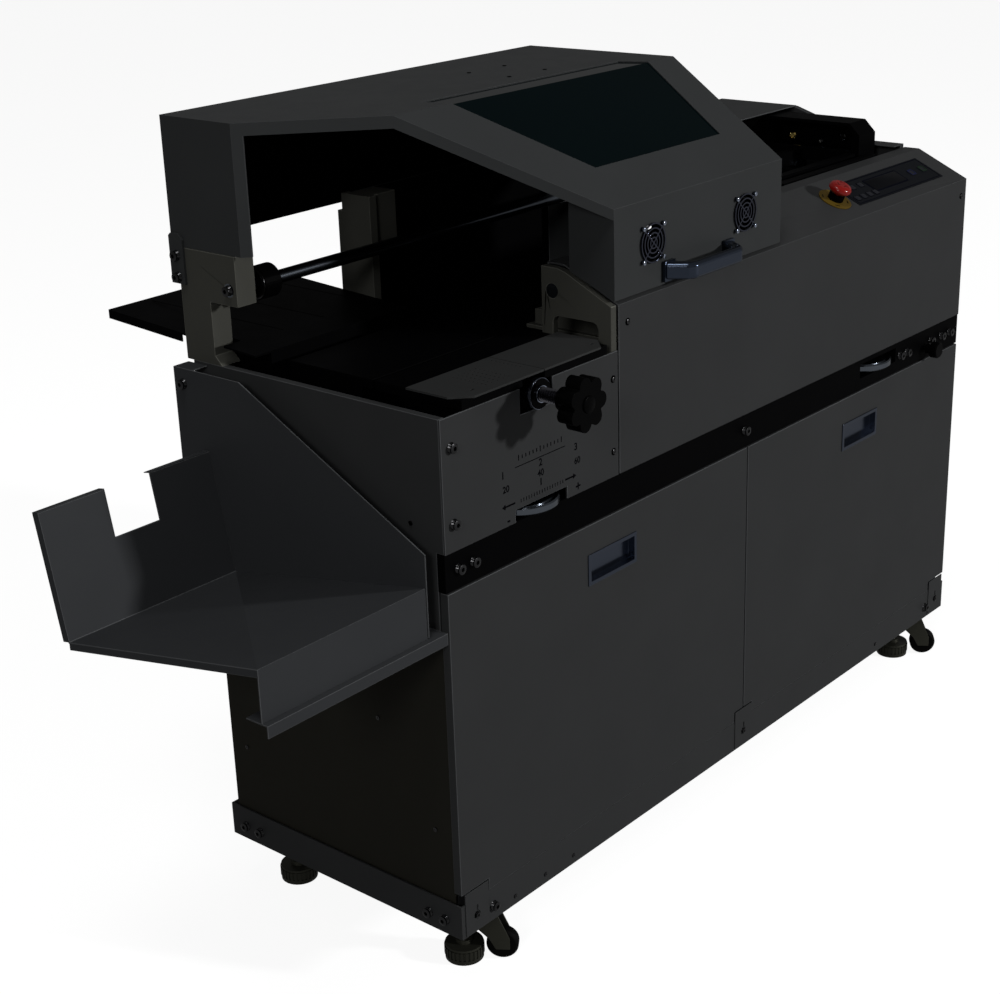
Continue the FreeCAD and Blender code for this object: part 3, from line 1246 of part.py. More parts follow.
def nip_front_jaw():
    """Sliding front jaw with the lug that its spindle screws through."""
    body = new_body("nip_front_jaw")
    pad(body, "XY", d.nip_low, d.nip_high - d.nip_low,
        rectangle(d.nip_left, d.nip_front, d.nip_right, d.nip_edge))
    room = d.spindle_collar + d.well_gap
    cut(body, "XY", d.nip_low, d.knob_z + room - d.nip_low,
        rectangle(d.knob_x - room, d.nip_front, d.knob_x + room, d.nip_front + d.nip_relief))
    half = d.nip_lug_width / 2
    pad(body, "XZ", d.nip_lug_front, d.nip_lug_depth,
        rectangle(d.knob_x - half, d.nip_lug_low, d.knob_x + half, d.nip_low + d.sheet))
    cut(body, "XZ", d.nip_lug_front, d.nip_lug_depth,
        circle(d.knob_x, d.knob_z, d.spindle_radius + d.running_fit))
    return body


def nip_table():
    """Plates on the front jaw, the left one perforated, with cut-off front corners."""
    body = new_body("nip_table")
    corner = d.table_chamfer
    left = d.table_plate_left
    right = d.table_plate_right
    front = d.table_plate_front
    rear = d.table_plate_rear
    groove = d.table_seam / 2
    pad(body, "XY", d.nip_high, d.table_plate_thick,
        [(left, front + corner), (left + corner, front), (d.table_seam_x - groove, front),
         (d.table_seam_x - groove, rear), (left, rear)],
        [(d.table_seam_x + groove, front), (right - corner, front), (right, front + corner),
         (right, rear), (d.table_seam_x + groove, rear)])
    seam_row = d.table_seam_x - d.seam_row_room
    block = d.table_seam_x - d.hole_block_room
    first = front + d.hole_start
    cut(body, "XY", d.nip_high, d.table_plate_thick,
        *[six_sided(seam_row, first + d.hole_step * (2 + step), d.hole_radius)
          for step in range(8)])
    column = cut(body, "XY", d.nip_high, d.table_plate_thick,
                 *[six_sided(block, first + d.hole_step * step, d.hole_radius)
                   for step in range(9)])
    row(body, column, "X_Axis", d.hole_pitch * 4, 5)
    slots = []
    for x in (left + d.slot_edge, right - d.slot_edge / 2):
        slots.append(rectangle(x - d.slot_length / 2, front + d.slot_along - d.slot_width / 2,
                               x + d.slot_length / 2, front + d.slot_along + d.slot_width / 2))
    cut(body, "XY", d.nip_high, d.table_plate_thick, *slots)
    return body


def nip_rear_jaw():
    """Fixed rear jaw on the bed."""
    body = new_body("nip_rear_jaw")
    front = d.nip_edge + d.nip_gap
    pad(body, "YZ", d.nip_left, d.nip_right - d.nip_left,
        [(front, d.nip_low), (front, d.nip_high), (d.nip_rear_edge, d.nip_high),
         (d.nip_rear_edge, d.bed_top), (front + d.slide_width, d.bed_top),
         (front + d.slide_width, d.nip_low)])
    return body


def star_knob():
    """Lobed knob on the spindle that opens and closes the nip, with its thrust collar."""
    body = new_body("star_knob", d.knob_x, ZERO, d.knob_z)
    turn(body, (1, 0, 0), -90)
    rear = d.knob_front + d.knob_thick
    waist = d.knob_radius - d.knob_lobe
    pad(body, "XY", d.knob_front, d.knob_thick, circle(ZERO, ZERO, waist + d.knob_lobe / 4))
    lobe = pad(body, "XY", d.knob_front, d.knob_thick, circle(waist, ZERO, d.knob_lobe))
    polar(body, lobe, 7)
    pad(body, "XY", rear, d.knob_hub_length, circle(ZERO, ZERO, d.knob_hub))
    pad(body, "XY", rear, d.spindle_rear - rear, circle(ZERO, ZERO, d.spindle_radius))
    pad(body, "XY", d.spindle_collar_front, d.spindle_collar_width,
        circle(ZERO, ZERO, d.spindle_collar))
    return body


# Handwheels and knobs

def handwheel(name, x, z):
    """Flat handwheel on a vertical shaft, with its rim through a slot of the front."""
    body = new_body(name, x, d.wheel_y, z)
    rim = d.wheel_radius
    thick = d.wheel_thick
    web_low = thick / 2 - d.wheel_web / 2
    web_high = thick / 2 + d.wheel_web / 2
    soft = d.wheel_web / 2
    revolve(body, [
        (ZERO, ZERO), (d.wheel_hub, ZERO), (d.wheel_hub, web_low), (rim - d.wheel_rim, web_low),
        (rim - d.wheel_rim, soft), (rim - soft, ZERO), (rim, soft), (rim, thick - soft),
        (rim - soft, thick), (rim - d.wheel_rim, thick - soft), (rim - d.wheel_rim, web_high),
        (d.wheel_hub, web_high), (d.wheel_hub, thick), (d.wheel_shaft, thick),
        (d.wheel_shaft, thick + d.wheel_shaft_length), (ZERO, thick + d.wheel_shaft_length)])
    return body


def handwheel_brackets():
    """Bearing brackets behind the front, one for each handwheel shaft."""
    blocks = []
    for side, x, z, front in (("left", d.left_wheel_x, d.left_wheel_z, d.panel_gap),
                              ("right", d.right_wheel_x, d.right_wheel_z, d.sheet)):
        low = z + d.wheel_thick + d.bearing_rise
        half = d.bearing_width / 2
        blocks.append(prism(f"{side}_bearing", "XY", low, d.bearing_thick,
                            rectangle(x - half, front, x + half, front + d.bearing_depth),
                            circle(x, d.wheel_y, d.wheel_shaft + d.running_fit)))
    group = boolean("Compound", "handwheel_brackets", *blocks)
    at(group)
    return keep(group, "handwheel_brackets")


def lock_knob():
    """Small round knob on a stud through the black bar."""
    body = new_body("lock_knob", d.lock_knob_x, d.band_recess, d.lock_knob_z)
    turn(body, (1, 0, 0), 90)
    gap = d.lock_knob_gap
    top = gap + d.lock_knob_length
    waist = d.lock_knob_radius * knob_waist_share
    revolve(body, [
        (ZERO, ZERO), (d.lock_stud, ZERO), (d.lock_stud, gap), (waist, gap),
        (waist, gap + d.lock_knob_length * knob_neck_share),
        (d.lock_knob_radius, gap + d.lock_knob_length * knob_shoulder_share),
        (d.lock_knob_radius, top - d.lock_stud / 2), (d.lock_knob_radius - d.lock_stud / 2, top),
        (ZERO, top)])
    return body


# Controls

def on_slope(name, x, along):
    """Body whose XY plane lies on the sloping control panel."""
    run = d.slope_depth
    rise = d.deck_top - d.panel_fold
    slant = root(run * run + rise * rise)
    body = new_body(name, x, along * run / slant, d.panel_fold + along * rise / slant)
    turn(body, (1, 0, 0), formula=f"atan({(rise / run).text})")
    return body


def control_membrane():
    """Flat key panel with windows for the two command keys."""
    body = on_slope("control_membrane", d.membrane_left, d.membrane_low)
    pad(body, "XY", ZERO, d.membrane_thick,
        rectangle(ZERO, ZERO, d.membrane_width, d.membrane_depth))
    half = d.key_side / 2 + d.key_gap
    for x in (d.blue_key_x - d.membrane_left, d.green_key_x - d.membrane_left):
        y = d.key_along - d.membrane_low
        cut(body, "XY", ZERO, d.membrane_thick, rectangle(x - half, y - half, x + half, y + half))
    return body


def command_key(name, x):
    """Square key in a window of the membrane."""
    body = on_slope(name, x, d.key_along)
    half = d.key_side / 2
    pad(body, "XY", d.key_low, d.key_height, rectangle(-half, -half, half, half))
    return body


def estop_base():
    """Round plate and neck under the emergency stop button."""
    body = on_slope("estop_base", d.estop_x, d.estop_along)
    stem = d.estop_stem + d.running_fit
    revolve(body, [
        (stem, ZERO), (d.estop_ring, ZERO), (d.estop_ring, d.estop_plate),
        (d.estop_neck, d.estop_plate), (d.estop_neck, d.estop_plate + d.estop_neck_height),
        (stem, d.estop_plate + d.estop_neck_height)])
    return body


def estop_button():
    """Mushroom head on its stem."""
    body = on_slope("estop_button", d.estop_x, d.estop_along)
    low = d.estop_plate + d.estop_neck_height + d.estop_gap
    high = low + d.estop_head_height
    revolve(body, [
        (ZERO, d.estop_plate * 3), (d.estop_stem, d.estop_plate * 3), (d.estop_stem, low),
        (d.estop_head * head_edge_share, low),
        (d.estop_head, low + d.estop_head_height * head_rise_share),
        (d.estop_head, low + d.estop_head_height * head_high_share),
        (d.estop_head * head_bend_share, low + d.estop_head_height * head_shoulder_share),
        (d.estop_head * head_top_share, high), (ZERO, high)])
    return body


# Milling and glue

def milling_cutter():
    """Toothed cutter on its motor shaft."""
    body = new_body("milling_cutter", d.cutter_x, d.cutter_y, d.cutter_low)
    reach = d.cutter_radius
    inner = reach * tooth_root_share
    back = reach * tooth_back_share
    pad(body, "XY", ZERO, d.cutter_thick, circle(ZERO, ZERO, reach * cutter_core_share))
    tooth = pad(body, "XY", ZERO, d.cutter_thick,
                [(inner, -back), (reach, -reach * tooth_tip_share),
                 (reach * tooth_reach_share, reach * tooth_rake_share), (inner, back)])
    polar(body, tooth, 12)
    nut = d.cutter_thick * cutter_nut_share
    pad(body, "XY", d.bed_low - d.cutter_low, d.cutter_low - d.bed_low + nut,
        circle(ZERO, ZERO, d.cutter_shaft))
    return body


def cutter_motor():
    """Motor under the bed, on its flange."""
    body = new_body("cutter_motor", d.cutter_x, d.cutter_y)
    tip = d.bed_low
    flange_low = tip - d.motor_flange_thick
    revolve(body, [
        (ZERO, d.motor_low), (d.motor_radius, d.motor_low), (d.motor_radius, flange_low),
        (d.motor_flange, flange_low), (d.motor_flange, tip), (ZERO, tip)])
    return body


def glue_tank():
    """Open tank in the bed, hung by its lip, with slots for the roller shaft."""
    body = new_body("glue_tank")
    right = d.tank_left + d.tank_width
    rear = d.tank_front + d.tank_depth
    wall = d.tank_wall
    pad(body, "XY", d.tank_low, d.tank_high - d.tank_low,
        rectangle(d.tank_left, d.tank_front, right, rear))
    pad(body, "XY", d.bed_top, wall,
        rectangle(d.tank_left - d.tank_lip, d.tank_front - d.tank_lip, right + d.tank_lip,
                  rear + d.tank_lip))
    cut(body, "XY", d.tank_low + wall, d.tank_high - d.tank_low,
        rectangle(d.tank_left + wall, d.tank_front + wall, right - wall, rear - wall))
    slot = d.roller_shaft + d.running_fit
    pad(body, "XZ", d.tank_front, d.tank_depth,
        rectangle(d.roller_x - slot * 2, d.tank_high - wall,
                  d.roller_x + slot * 2, d.roller_z + slot * 2))
    cut(body, "XZ", d.tank_front + wall, d.tank_depth - wall * 2,
        rectangle(d.tank_left + wall, d.tank_low + wall, right - wall, d.roller_z + slot * 3))
    cut(body, "XZ", d.tank_front, d.tank_depth, circle(d.roller_x, d.roller_z, slot))
    return body


def glue_roller():
    """Roller that wipes hot glue on the spine."""
    body = new_body("glue_roller", d.roller_x, d.tank_front, d.roller_z)
    turn(body, (1, 0, 0), -90)
    gap = d.tank_wall + d.well_gap
    pad(body, "XY", ZERO, d.tank_depth, circle(ZERO, ZERO, d.roller_shaft))
    pad(body, "XY", gap, d.tank_depth - gap * 2, circle(ZERO, ZERO, d.roller_radius))
    return body


# Carriage

def carriage_frame():
    """End beam and hollow hood tied by bars, running on the guide rods, with the fixed jaw."""
    body = new_body("carriage_frame")
    outline = [
        (d.beam_front, d.beam_low), (d.beam_front, d.hood_low), (d.hood_front, d.hood_low),
        (d.hood_front, d.beam_top - d.hood_front_corner),
        (d.hood_front + d.hood_front_corner, d.beam_top),
        (d.beam_rear - d.hood_rear_corner, d.beam_top),
        (d.beam_rear, d.beam_top - d.hood_rear_corner), (d.beam_rear, d.beam_rear_low),
        (d.beam_waist + d.beam_thick, d.beam_rear_low), (d.beam_waist, d.beam_low)]
    pad(body, "YZ", d.beam_left, d.beam_thick, outline)
    pad(body, "YZ", d.hood_left, d.hood_thick, outline)
    jaw_left = d.beam_left + d.beam_thick
    overlap = d.beam_thick / 2
    pad(body, "YZ", jaw_left - overlap, d.hood_left - jaw_left + overlap * 2,
        rectangle(d.beam_front, d.beam_low, d.beam_front + d.jaw_front_thick, d.jaw_high),
        rectangle(d.tie_front, d.tie_low, d.tie_rear, d.tie_high))
    inside = [
        (d.hood_room_front, d.jaw_high), (d.hood_room_front, d.beam_top - d.hood_front_corner),
        (d.hood_front + d.hood_front_corner + d.hood_wall / 2, d.beam_top - d.hood_wall),
        (d.hood_room_rear, d.beam_top - d.hood_wall), (d.hood_room_rear, d.jaw_high)]
    cut(body, "YZ", d.hood_left - overlap, d.hood_thick - d.hood_wall + overlap, inside)
    pad(body, "YZ", d.hood_left, d.beam_thick,
        rectangle(d.arm_front, d.arm_low, d.beam_front + d.sheet, d.arm_high))
    cut(body, "YZ", d.hood_left, d.beam_thick,
        circle(d.front_rod_y, d.front_rod_z, d.front_rod_radius + d.running_fit))
    cut(body, "YZ", d.beam_left, d.hood_left + d.hood_thick - d.beam_left,
        circle(d.rod_y, d.rod_z, d.rod_radius + d.running_fit))
    bore = d.jaw_guide + d.running_fit
    cut(body, "XZ", d.tie_front, d.tie_depth,
        circle(d.jaw_guide_left, d.jaw_guide_z, bore), circle(d.jaw_guide_right, d.jaw_guide_z, bore),
        circle(d.screw_x, d.jaw_guide_z, d.screw_radius + d.running_fit))
    return body


def clamp_jaw():
    """Moving jaw whose two guide pins run through the tie bar to a tapped yoke behind it."""
    body = new_body("clamp_jaw")
    left = d.beam_left + d.beam_thick + d.jaw_end_gap
    right = d.hood_left - d.jaw_end_gap
    front = d.beam_front + d.jaw_front_thick + d.jaw_gap
    rear = front + d.jaw_thick
    pad(body, "XY", d.beam_low, d.jaw_high - d.beam_low, rectangle(left, front, right, rear))
    start = rear - d.jaw_seat
    pad(body, "XZ", start, d.yoke_front + d.yoke_depth / 2 - start,
        circle(d.jaw_guide_left, d.jaw_guide_z, d.jaw_guide),
        circle(d.jaw_guide_right, d.jaw_guide_z, d.jaw_guide))
    half = d.yoke_height / 2
    pad(body, "XZ", d.yoke_front, d.yoke_depth,
        rectangle(d.jaw_guide_left - d.yoke_margin, d.jaw_guide_z - half,
                  d.screw_x + d.yoke_margin, d.jaw_guide_z + half))
    cut(body, "XZ", d.yoke_front, d.yoke_depth,
        circle(d.screw_x, d.jaw_guide_z, d.screw_radius + d.running_fit))
    return body


def clamp_screw():
    """Bright screw held in the tie bar by a collar on either side, and threaded through the yoke."""
    body = new_body("clamp_screw", d.screw_x, ZERO, d.jaw_guide_z)
    turn(body, (1, 0, 0), -90)
    front = d.tie_front - d.seat_gap - d.screw_hub_length
    end = d.yoke_front + d.yoke_depth + d.jaw_travel + d.screw_tail
    pad(body, "XY", front, end - front, circle(ZERO, ZERO, d.screw_radius))
    pad(body, "XY", front, d.screw_hub_length, circle(ZERO, ZERO, d.screw_hub))
    pad(body, "XY", d.tie_rear + d.seat_gap, d.screw_hub_length,
        circle(ZERO, ZERO, d.screw_hub))
    return body


# Casters

def caster_mounts(places):
    """Fixed part of each levelling caster: plate, stem and round foot."""
    mounts = []
    for name, x, y in places:
        half = d.caster_plate / 2
        plate = prism(f"{name}_plate", "XY", -d.caster_plate_thick, d.caster_plate_thick,
                      rectangle(x - half, y - half, x + half, y + half))
        stem = prism(f"{name}_stem", "XY", -d.floor_drop + d.foot_height / 2,
                     d.floor_drop - d.foot_height / 2 - d.caster_plate_thick / 2,
                     circle(x, y, d.caster_stem))
        foot = prism(f"{name}_foot", "XY", -d.floor_drop, d.foot_height, circle(x, y, d.foot_radius))
        neck = prism(f"{name}_neck", "XY", -d.floor_drop + d.foot_height, d.foot_neck / 2,
                     circle(x, y, d.foot_neck))
        mounts.append(boolean("MultiFuse", f"{name}_mount", plate, stem, foot, neck))
    group = boolean("Compound", "caster_mounts", *mounts)
    at(group)
    return keep(group, "caster_mounts")


def caster_fork(name, x, y):
    """Swivelling fork: collar round the stem, two cheeks and the wheel axle."""
    body = new_body(name, x, y)
    turn(body, (0, 0, 1), CASTER_HEADING)
    bore = d.caster_stem + d.running_fit
    collar_height = d.fork_collar_low - d.fork_collar_high
    pad(body, "XY", -d.fork_collar_low, collar_height, circle(ZERO, ZERO, d.fork_collar))
    axle_z = -(d.floor_drop - d.wheel_lift - d.wheel_tyre)
    end = d.fork_end
    inner = d.caster_stem * cheek_root_share
    cheek = [
        (inner, -d.fork_collar_low), (inner, -d.fork_collar_high),
        (d.fork_trail - end / 2, -d.fork_collar_high - end / 2), (d.fork_trail + end, axle_z + end),
        (d.fork_trail + end, axle_z - end / 2),
        (d.fork_trail - end * cheek_toe_share, axle_z - end / 2),
        (d.fork_trail - end * cheek_heel_share, axle_z + end)]
    pad(body, "XZ", -(d.fork_inner + d.fork_cheek), (d.fork_inner + d.fork_cheek) * 2, cheek)
    cut(body, "XY", axle_z - end, d.floor_drop,
        rectangle(d.fork_trail - d.wheel_tyre - d.wheel_lift, -d.fork_inner,
                  d.fork_trail + d.wheel_tyre, d.fork_inner))
    pad(body, "XZ", -(d.fork_inner + d.fork_cheek / 2), d.fork_inner * 2 + d.fork_cheek,
        circle(d.fork_trail, axle_z, d.axle_radius))
    cut(body, "XY", -d.floor_drop, d.floor_drop, circle(ZERO, ZERO, bore))
    return body


def caster_wheel(name, x, y):
    """Tyred wheel on the fork's axle."""
    heading = math.radians(CASTER_HEADING)
    body = new_body(name, x + d.fork_trail * math.cos(heading),
                    y + d.fork_trail * math.sin(heading),
                    -(d.floor_drop - d.wheel_lift - d.wheel_tyre))
    sideways = FreeCAD.Rotation(FreeCAD.Vector(0, 0, 1), CASTER_HEADING)
    upright = FreeCAD.Rotation(FreeCAD.Vector(1, 0, 0), 90)
    body.Placement = FreeCAD.Placement(body.Placement.Base, sideways.multiply(upright))
    half = d.caster_wheel_width / 2
    soft = d.axle_radius
    bore = d.axle_radius + d.running_fit
    revolve(body, [
        (bore, -half), (d.wheel_tyre - soft, -half), (d.wheel_tyre, -half + soft),
        (d.wheel_tyre, half - soft), (d.wheel_tyre - soft, half), (bore, half)])
    return body


# Fasteners

def bolt(name, plane, x, y, z, outward):
    """Round-headed bolt: tapered head outside the face, shank behind it."""
    body = doc.addObject("Part::Cone", name)
    body.setExpression("Radius1", d.bolt_head.text)
    body.setExpression("Radius2", d.bolt_top.text)
    body.setExpression("Height", d.bolt_head_height.text)
    turns = {("Y", -1): ((1, 0, 0), 90), ("X", -1): ((0, 1, 0), -90), ("X", 1): ((0, 1, 0), 90)}
    axis, degrees = turns[(plane, outward)]
    body.Placement = FreeCAD.Placement(
        FreeCAD.Vector(), FreeCAD.Rotation(FreeCAD.Vector(*axis), degrees))
    for letter, size in zip("xyz", (x, y, z)):
        body.setExpression(f".Placement.Base.{letter}", size.text)
    return body


def frame_bolts():
    """Bolts of the rails, the end plates, the band, the post and the hinge plate, and the studs."""
    right = d.body_length
    low = d.rail_bolt_z
    edge = d.keyhole_edge
    band_z = (d.band_low + d.band_high) / 2
    places = []
    for y in (edge, edge * 2, d.body_depth - edge, d.body_depth - edge * 2):
        places.append(("X", ZERO, y, low, -1))
        places.append(("X", right, y, low, 1))
    beside = d.tab_edge + d.tab_width + d.bolt_head * cheek_root_share
    for x in (beside, right - beside):
        places.append(("Y", x, d.pan_front, low, -1))
    left_pair = d.band_bolt_left
    edge_bolt = right - d.band_bolt_end
    near_wheel = right - d.band_bolt_room
    for x in (left_pair, left_pair + d.band_bolt_pitch, d.door_split - d.band_bolt_middle,
              near_wheel - d.band_bolt_pair, near_wheel, edge_bolt - d.band_bolt_gap,
              edge_bolt - d.band_bolt_step, edge_bolt):
        places.append(("Y", x, d.band_recess, band_z, -1))
    for z in (d.side_bolt_z - d.bolt_head * 2, d.band_high + d.bolt_head * 5):
        places.append(("Y", d.side_bolt_y + d.bolt_head, ZERO, z, -1))
    places.append(("X", ZERO, d.rod_y, d.rod_z, -1))
    for share in (bolt_first_share, bolt_second_share):
        z = d.hinge_plate_low + d.bolt_head * share
        places.append(("X", -(d.hinge_plate + d.hinge_gap), d.hinge_y - d.bolt_head, z, -1))
    places.append(("X", -d.chute_offset, d.side_rear - d.bolt_head, d.side_bolt_z, -1))
    bolts = [bolt(f"bolt_{index}", *place) for index, place in enumerate(places)]
    for index, (_, x) in enumerate(tab_places()):
        bolts.append(prism(f"stud_{index}", "XZ", d.pan_front - d.stud_height, d.stud_height,
                           circle(x, d.keyhole_z, d.stud_radius)))
    group = boolean("Compound", "frame_bolts", *bolts)
    at(group)
    return keep(group, "frame_bolts")


def caster_places():
    """Names and plan places of the four casters."""
    far_x = d.body_length - d.caster_x
    far_y = d.body_depth - d.caster_y
    return (("front_left", d.caster_x, d.caster_y), ("front_right", far_x, d.caster_y),
            ("rear_left", d.caster_x, far_y), ("rear_right", far_x, far_y))


def build():
    """Make every sub-part."""
    cabinet_frame()
    lower_end_panels()
    rear_panel()
    left_side_plate()
    right_side_plate()
    front_band()
    small_front_panel()
    main_front_panel()
    machine_bed()
    rear_deck()
    chute_plate()
    delivery_tray()
    tray_ledge()
    rear_post()
    rear_bracket()
    mid_casting()
    guide_rods()
    cover_feed_table()
    cover_shell()
    cover_window()
    fan_frames()
    fan_guards()
    fan_impeller("left_fan_impeller", d.fan_left_x)
    fan_impeller("right_fan_impeller", d.fan_right_x)
    pull_handle()
    hinge_brackets()
    split_left = d.door_split - d.door_gap
    split_right = d.door_split + d.door_gap
    near = d.door_gap
    far = d.body_length - d.door_gap
    door("left_door", near, split_left)
    door("right_door", split_right, far)
    door_pull("left_door_pull", near, split_left)
    door_pull("right_door_pull", split_right, far)
    nip_front_jaw()
    nip_table()
    nip_rear_jaw()
    star_knob()
    handwheel("thickness_handwheel", d.left_wheel_x, d.left_wheel_z)
    handwheel("glue_handwheel", d.right_wheel_x, d.right_wheel_z)
    handwheel_brackets()
    lock_knob()
    control_membrane()
    command_key("blue_key", d.blue_key_x)
    command_key("green_key", d.green_key_x)
    estop_base()
    estop_button()
    milling_cutter()
    cutter_motor()
    glue_tank()
    glue_roller()
    carriage_frame()
    clamp_jaw()
    clamp_screw()
    places = caster_places()
    caster_mounts(places)
    for name, x, y in places:
        caster_fork(f"{name}_fork", x, y)
        caster_wheel(f"{name}_wheel", x, y)
    frame_bolts()


def check():
    """Stop on any failed object, empty shape or cut that took nothing away."""
    for thing in doc.Objects:
        if any(word in thing.State for word in ("Invalid", "Error")):
            raise RuntimeError(f"{thing.Name} failed: {thing.State}")
        if thing.TypeId == "PartDesign::Pocket":
            if thing.BaseFeature.Shape.Volume - thing.Shape.Volume < 1e-6:
                raise RuntimeError(f"{thing.Name} cuts nothing")
    for name, thing in PARTS:
        if thing.Shape.isNull() or not thing.Shape.isValid() or not thing.Shape.Solids:
            raise RuntimeError(f"{name} has no sound shape")


def export():
    """Write one file for each sub-part."""
    os.makedirs("parts", exist_ok=True)
    for name, thing in PARTS:
        thing.Shape.exportStep(f"parts/{name}.step")


build()
doc.recompute()
check()
export()
print(len(PARTS), "sub-parts")
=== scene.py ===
"""Looks of the perfect binding machine: finishes of the built pieces, and the small detail.

Places are written in the machine's own millimetres (X from the delivery end, Y from the front
face, Z from the underside of the base) and carried to the frame by Bench.spot.
"""

import logging
import math
from dataclasses import dataclass, field
from enum import Enum
from typing import Callable, Iterable, Sequence

import bmesh
import bpy
from mathutils import Matrix, Vector

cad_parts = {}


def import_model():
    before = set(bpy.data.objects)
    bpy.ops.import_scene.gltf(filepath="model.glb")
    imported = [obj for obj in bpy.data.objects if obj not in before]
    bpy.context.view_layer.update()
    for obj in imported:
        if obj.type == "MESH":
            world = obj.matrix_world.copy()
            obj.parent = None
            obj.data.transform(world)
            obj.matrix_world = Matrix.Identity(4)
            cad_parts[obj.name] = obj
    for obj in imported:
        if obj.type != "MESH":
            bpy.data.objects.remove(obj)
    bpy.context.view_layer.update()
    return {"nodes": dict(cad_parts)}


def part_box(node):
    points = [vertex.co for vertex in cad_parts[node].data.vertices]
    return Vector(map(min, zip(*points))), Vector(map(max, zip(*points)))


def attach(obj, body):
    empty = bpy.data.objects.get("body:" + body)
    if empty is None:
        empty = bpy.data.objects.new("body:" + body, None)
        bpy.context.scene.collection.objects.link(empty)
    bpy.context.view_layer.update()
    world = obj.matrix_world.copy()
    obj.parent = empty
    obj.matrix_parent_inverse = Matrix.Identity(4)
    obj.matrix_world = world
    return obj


logging.basicConfig(level=logging.INFO, format="%(message)s")
log = logging.getLogger("binder")

Colour = tuple[float, float, float]
Point = tuple[float, float, float]

FRAME_ORIGIN: Point = (573.5, 295.5, -94.0)
FACES_AXIS = 0.9
PRINT_HEIGHT = 0.0002
PRINT_BEVEL = 0.00005
SCREW_TURN = 37.0


class Facing(Enum):
    """Direction that a small fitting looks out of the face it sits on."""

    FRONT = (0.0, -1.0, 0.0)
    LEFT = (-1.0, 0.0, 0.0)
    RIGHT = (1.0, 0.0, 0.0)
    UP = (0.0, 0.0, 1.0)
    BACK = (0.0, 1.0, 0.0)
    SLOPE = (0.0, -0.4219, 0.9066)


class Drive(Enum):
    """Recess in a screw's head."""

    SOCKET = 6
    CROSS = 4


Seat = tuple[Point, Facing]


# Finishes

@dataclass(frozen=True)
class Surface:
    """A finish with a base colour that varies a little."""

    name: str
    colour: Colour

    def make(self) -> bpy.types.Material:
        """Build the node material.

        Returns:
            The finished material.
        """
        paint = NodeSheet(self.name)
        self.dress(paint)
        return paint.material

    def dress(self, paint: "NodeSheet") -> None:
        """Set the shader's inputs."""
        raise NotImplementedError


@dataclass(frozen=True)
class Coat(Surface):
    """A surface with the gloss and the fine grain that a coat, casting or moulding shows."""

    rough: float = 0.45
    metal: float = 0.0
    grain: float = 900.0
    bump: float = 0.05
    mottle: float = 0.08
    mottle_size: float = 9.0
    coat: float = 0.0
    specular: float = 0.05

    def dress(self, paint: "NodeSheet") -> None:
        """Set the gloss, its unevenness and the grain.

        Args:
            paint: the material's nodes.
        """
        paint.set("Base Color", paint.mottled(self.colour, self.mottle, self.mottle_size))
        paint.set("Metallic", self.metal)
        paint.set("Coat Weight", self.coat)
        paint.set("Specular IOR Level", self.specular)
        paint.set("Roughness", paint.uneven(self.rough, 0.12))
        paint.bump(paint.noise(self.grain), self.bump, 0.0008)


@dataclass(frozen=True)
class BrushedMetal(Surface):
    """Metal drawn or turned along one direction, with fine streaks across the light."""

    rough: float = 0.3
    along: Point = (4.0, 900.0, 900.0)
    bump: float = 0.15

    def dress(self, paint: "NodeSheet") -> None:
        """Streak the gloss and the bump.

        Args:
            paint: the material's nodes.
        """
        paint.set("Base Color", paint.mottled(self.colour, 0.1, 14.0))
        paint.set("Metallic", 1.0)
        streak = paint.noise(1.0, self.along)
        paint.set("Roughness", paint.remap(streak, self.rough * 0.75, self.rough * 1.3))
        paint.bump(streak, self.bump, 0.0002)


@dataclass(frozen=True)
class TintedGlass(Surface):
    """Dark see-through sheet of the cover's window."""

    clear: float = 0.035
    specular: float = 0.03

    def dress(self, paint: "NodeSheet") -> None:
        """Let a little light through a dark gloss body.

        Args:
            paint: the material's nodes.
        """
        paint.set("Base Color", paint.mottled(self.colour, 0.25, 3.0))
        paint.set("Transmission Weight", self.clear)
        paint.set("Specular IOR Level", self.specular)
        paint.set("Roughness", paint.uneven(0.05, 0.2))


@dataclass(frozen=True)
class Glow(Surface):
    """Faintly lit face, such as a display."""

    strength: float = 0.2

    def dress(self, paint: "NodeSheet") -> None:
        """Give a dark gloss face a little light of its own.

        Args:
            paint: the material's nodes.
        """
        paint.set("Base Color", paint.mottled(self.colour, 0.2, 40.0))
        paint.set("Emission Color", (*self.colour, 1.0))
        paint.set("Emission Strength", self.strength)
        paint.set("Roughness", 0.4)
        paint.set("Specular IOR Level", 0.05)


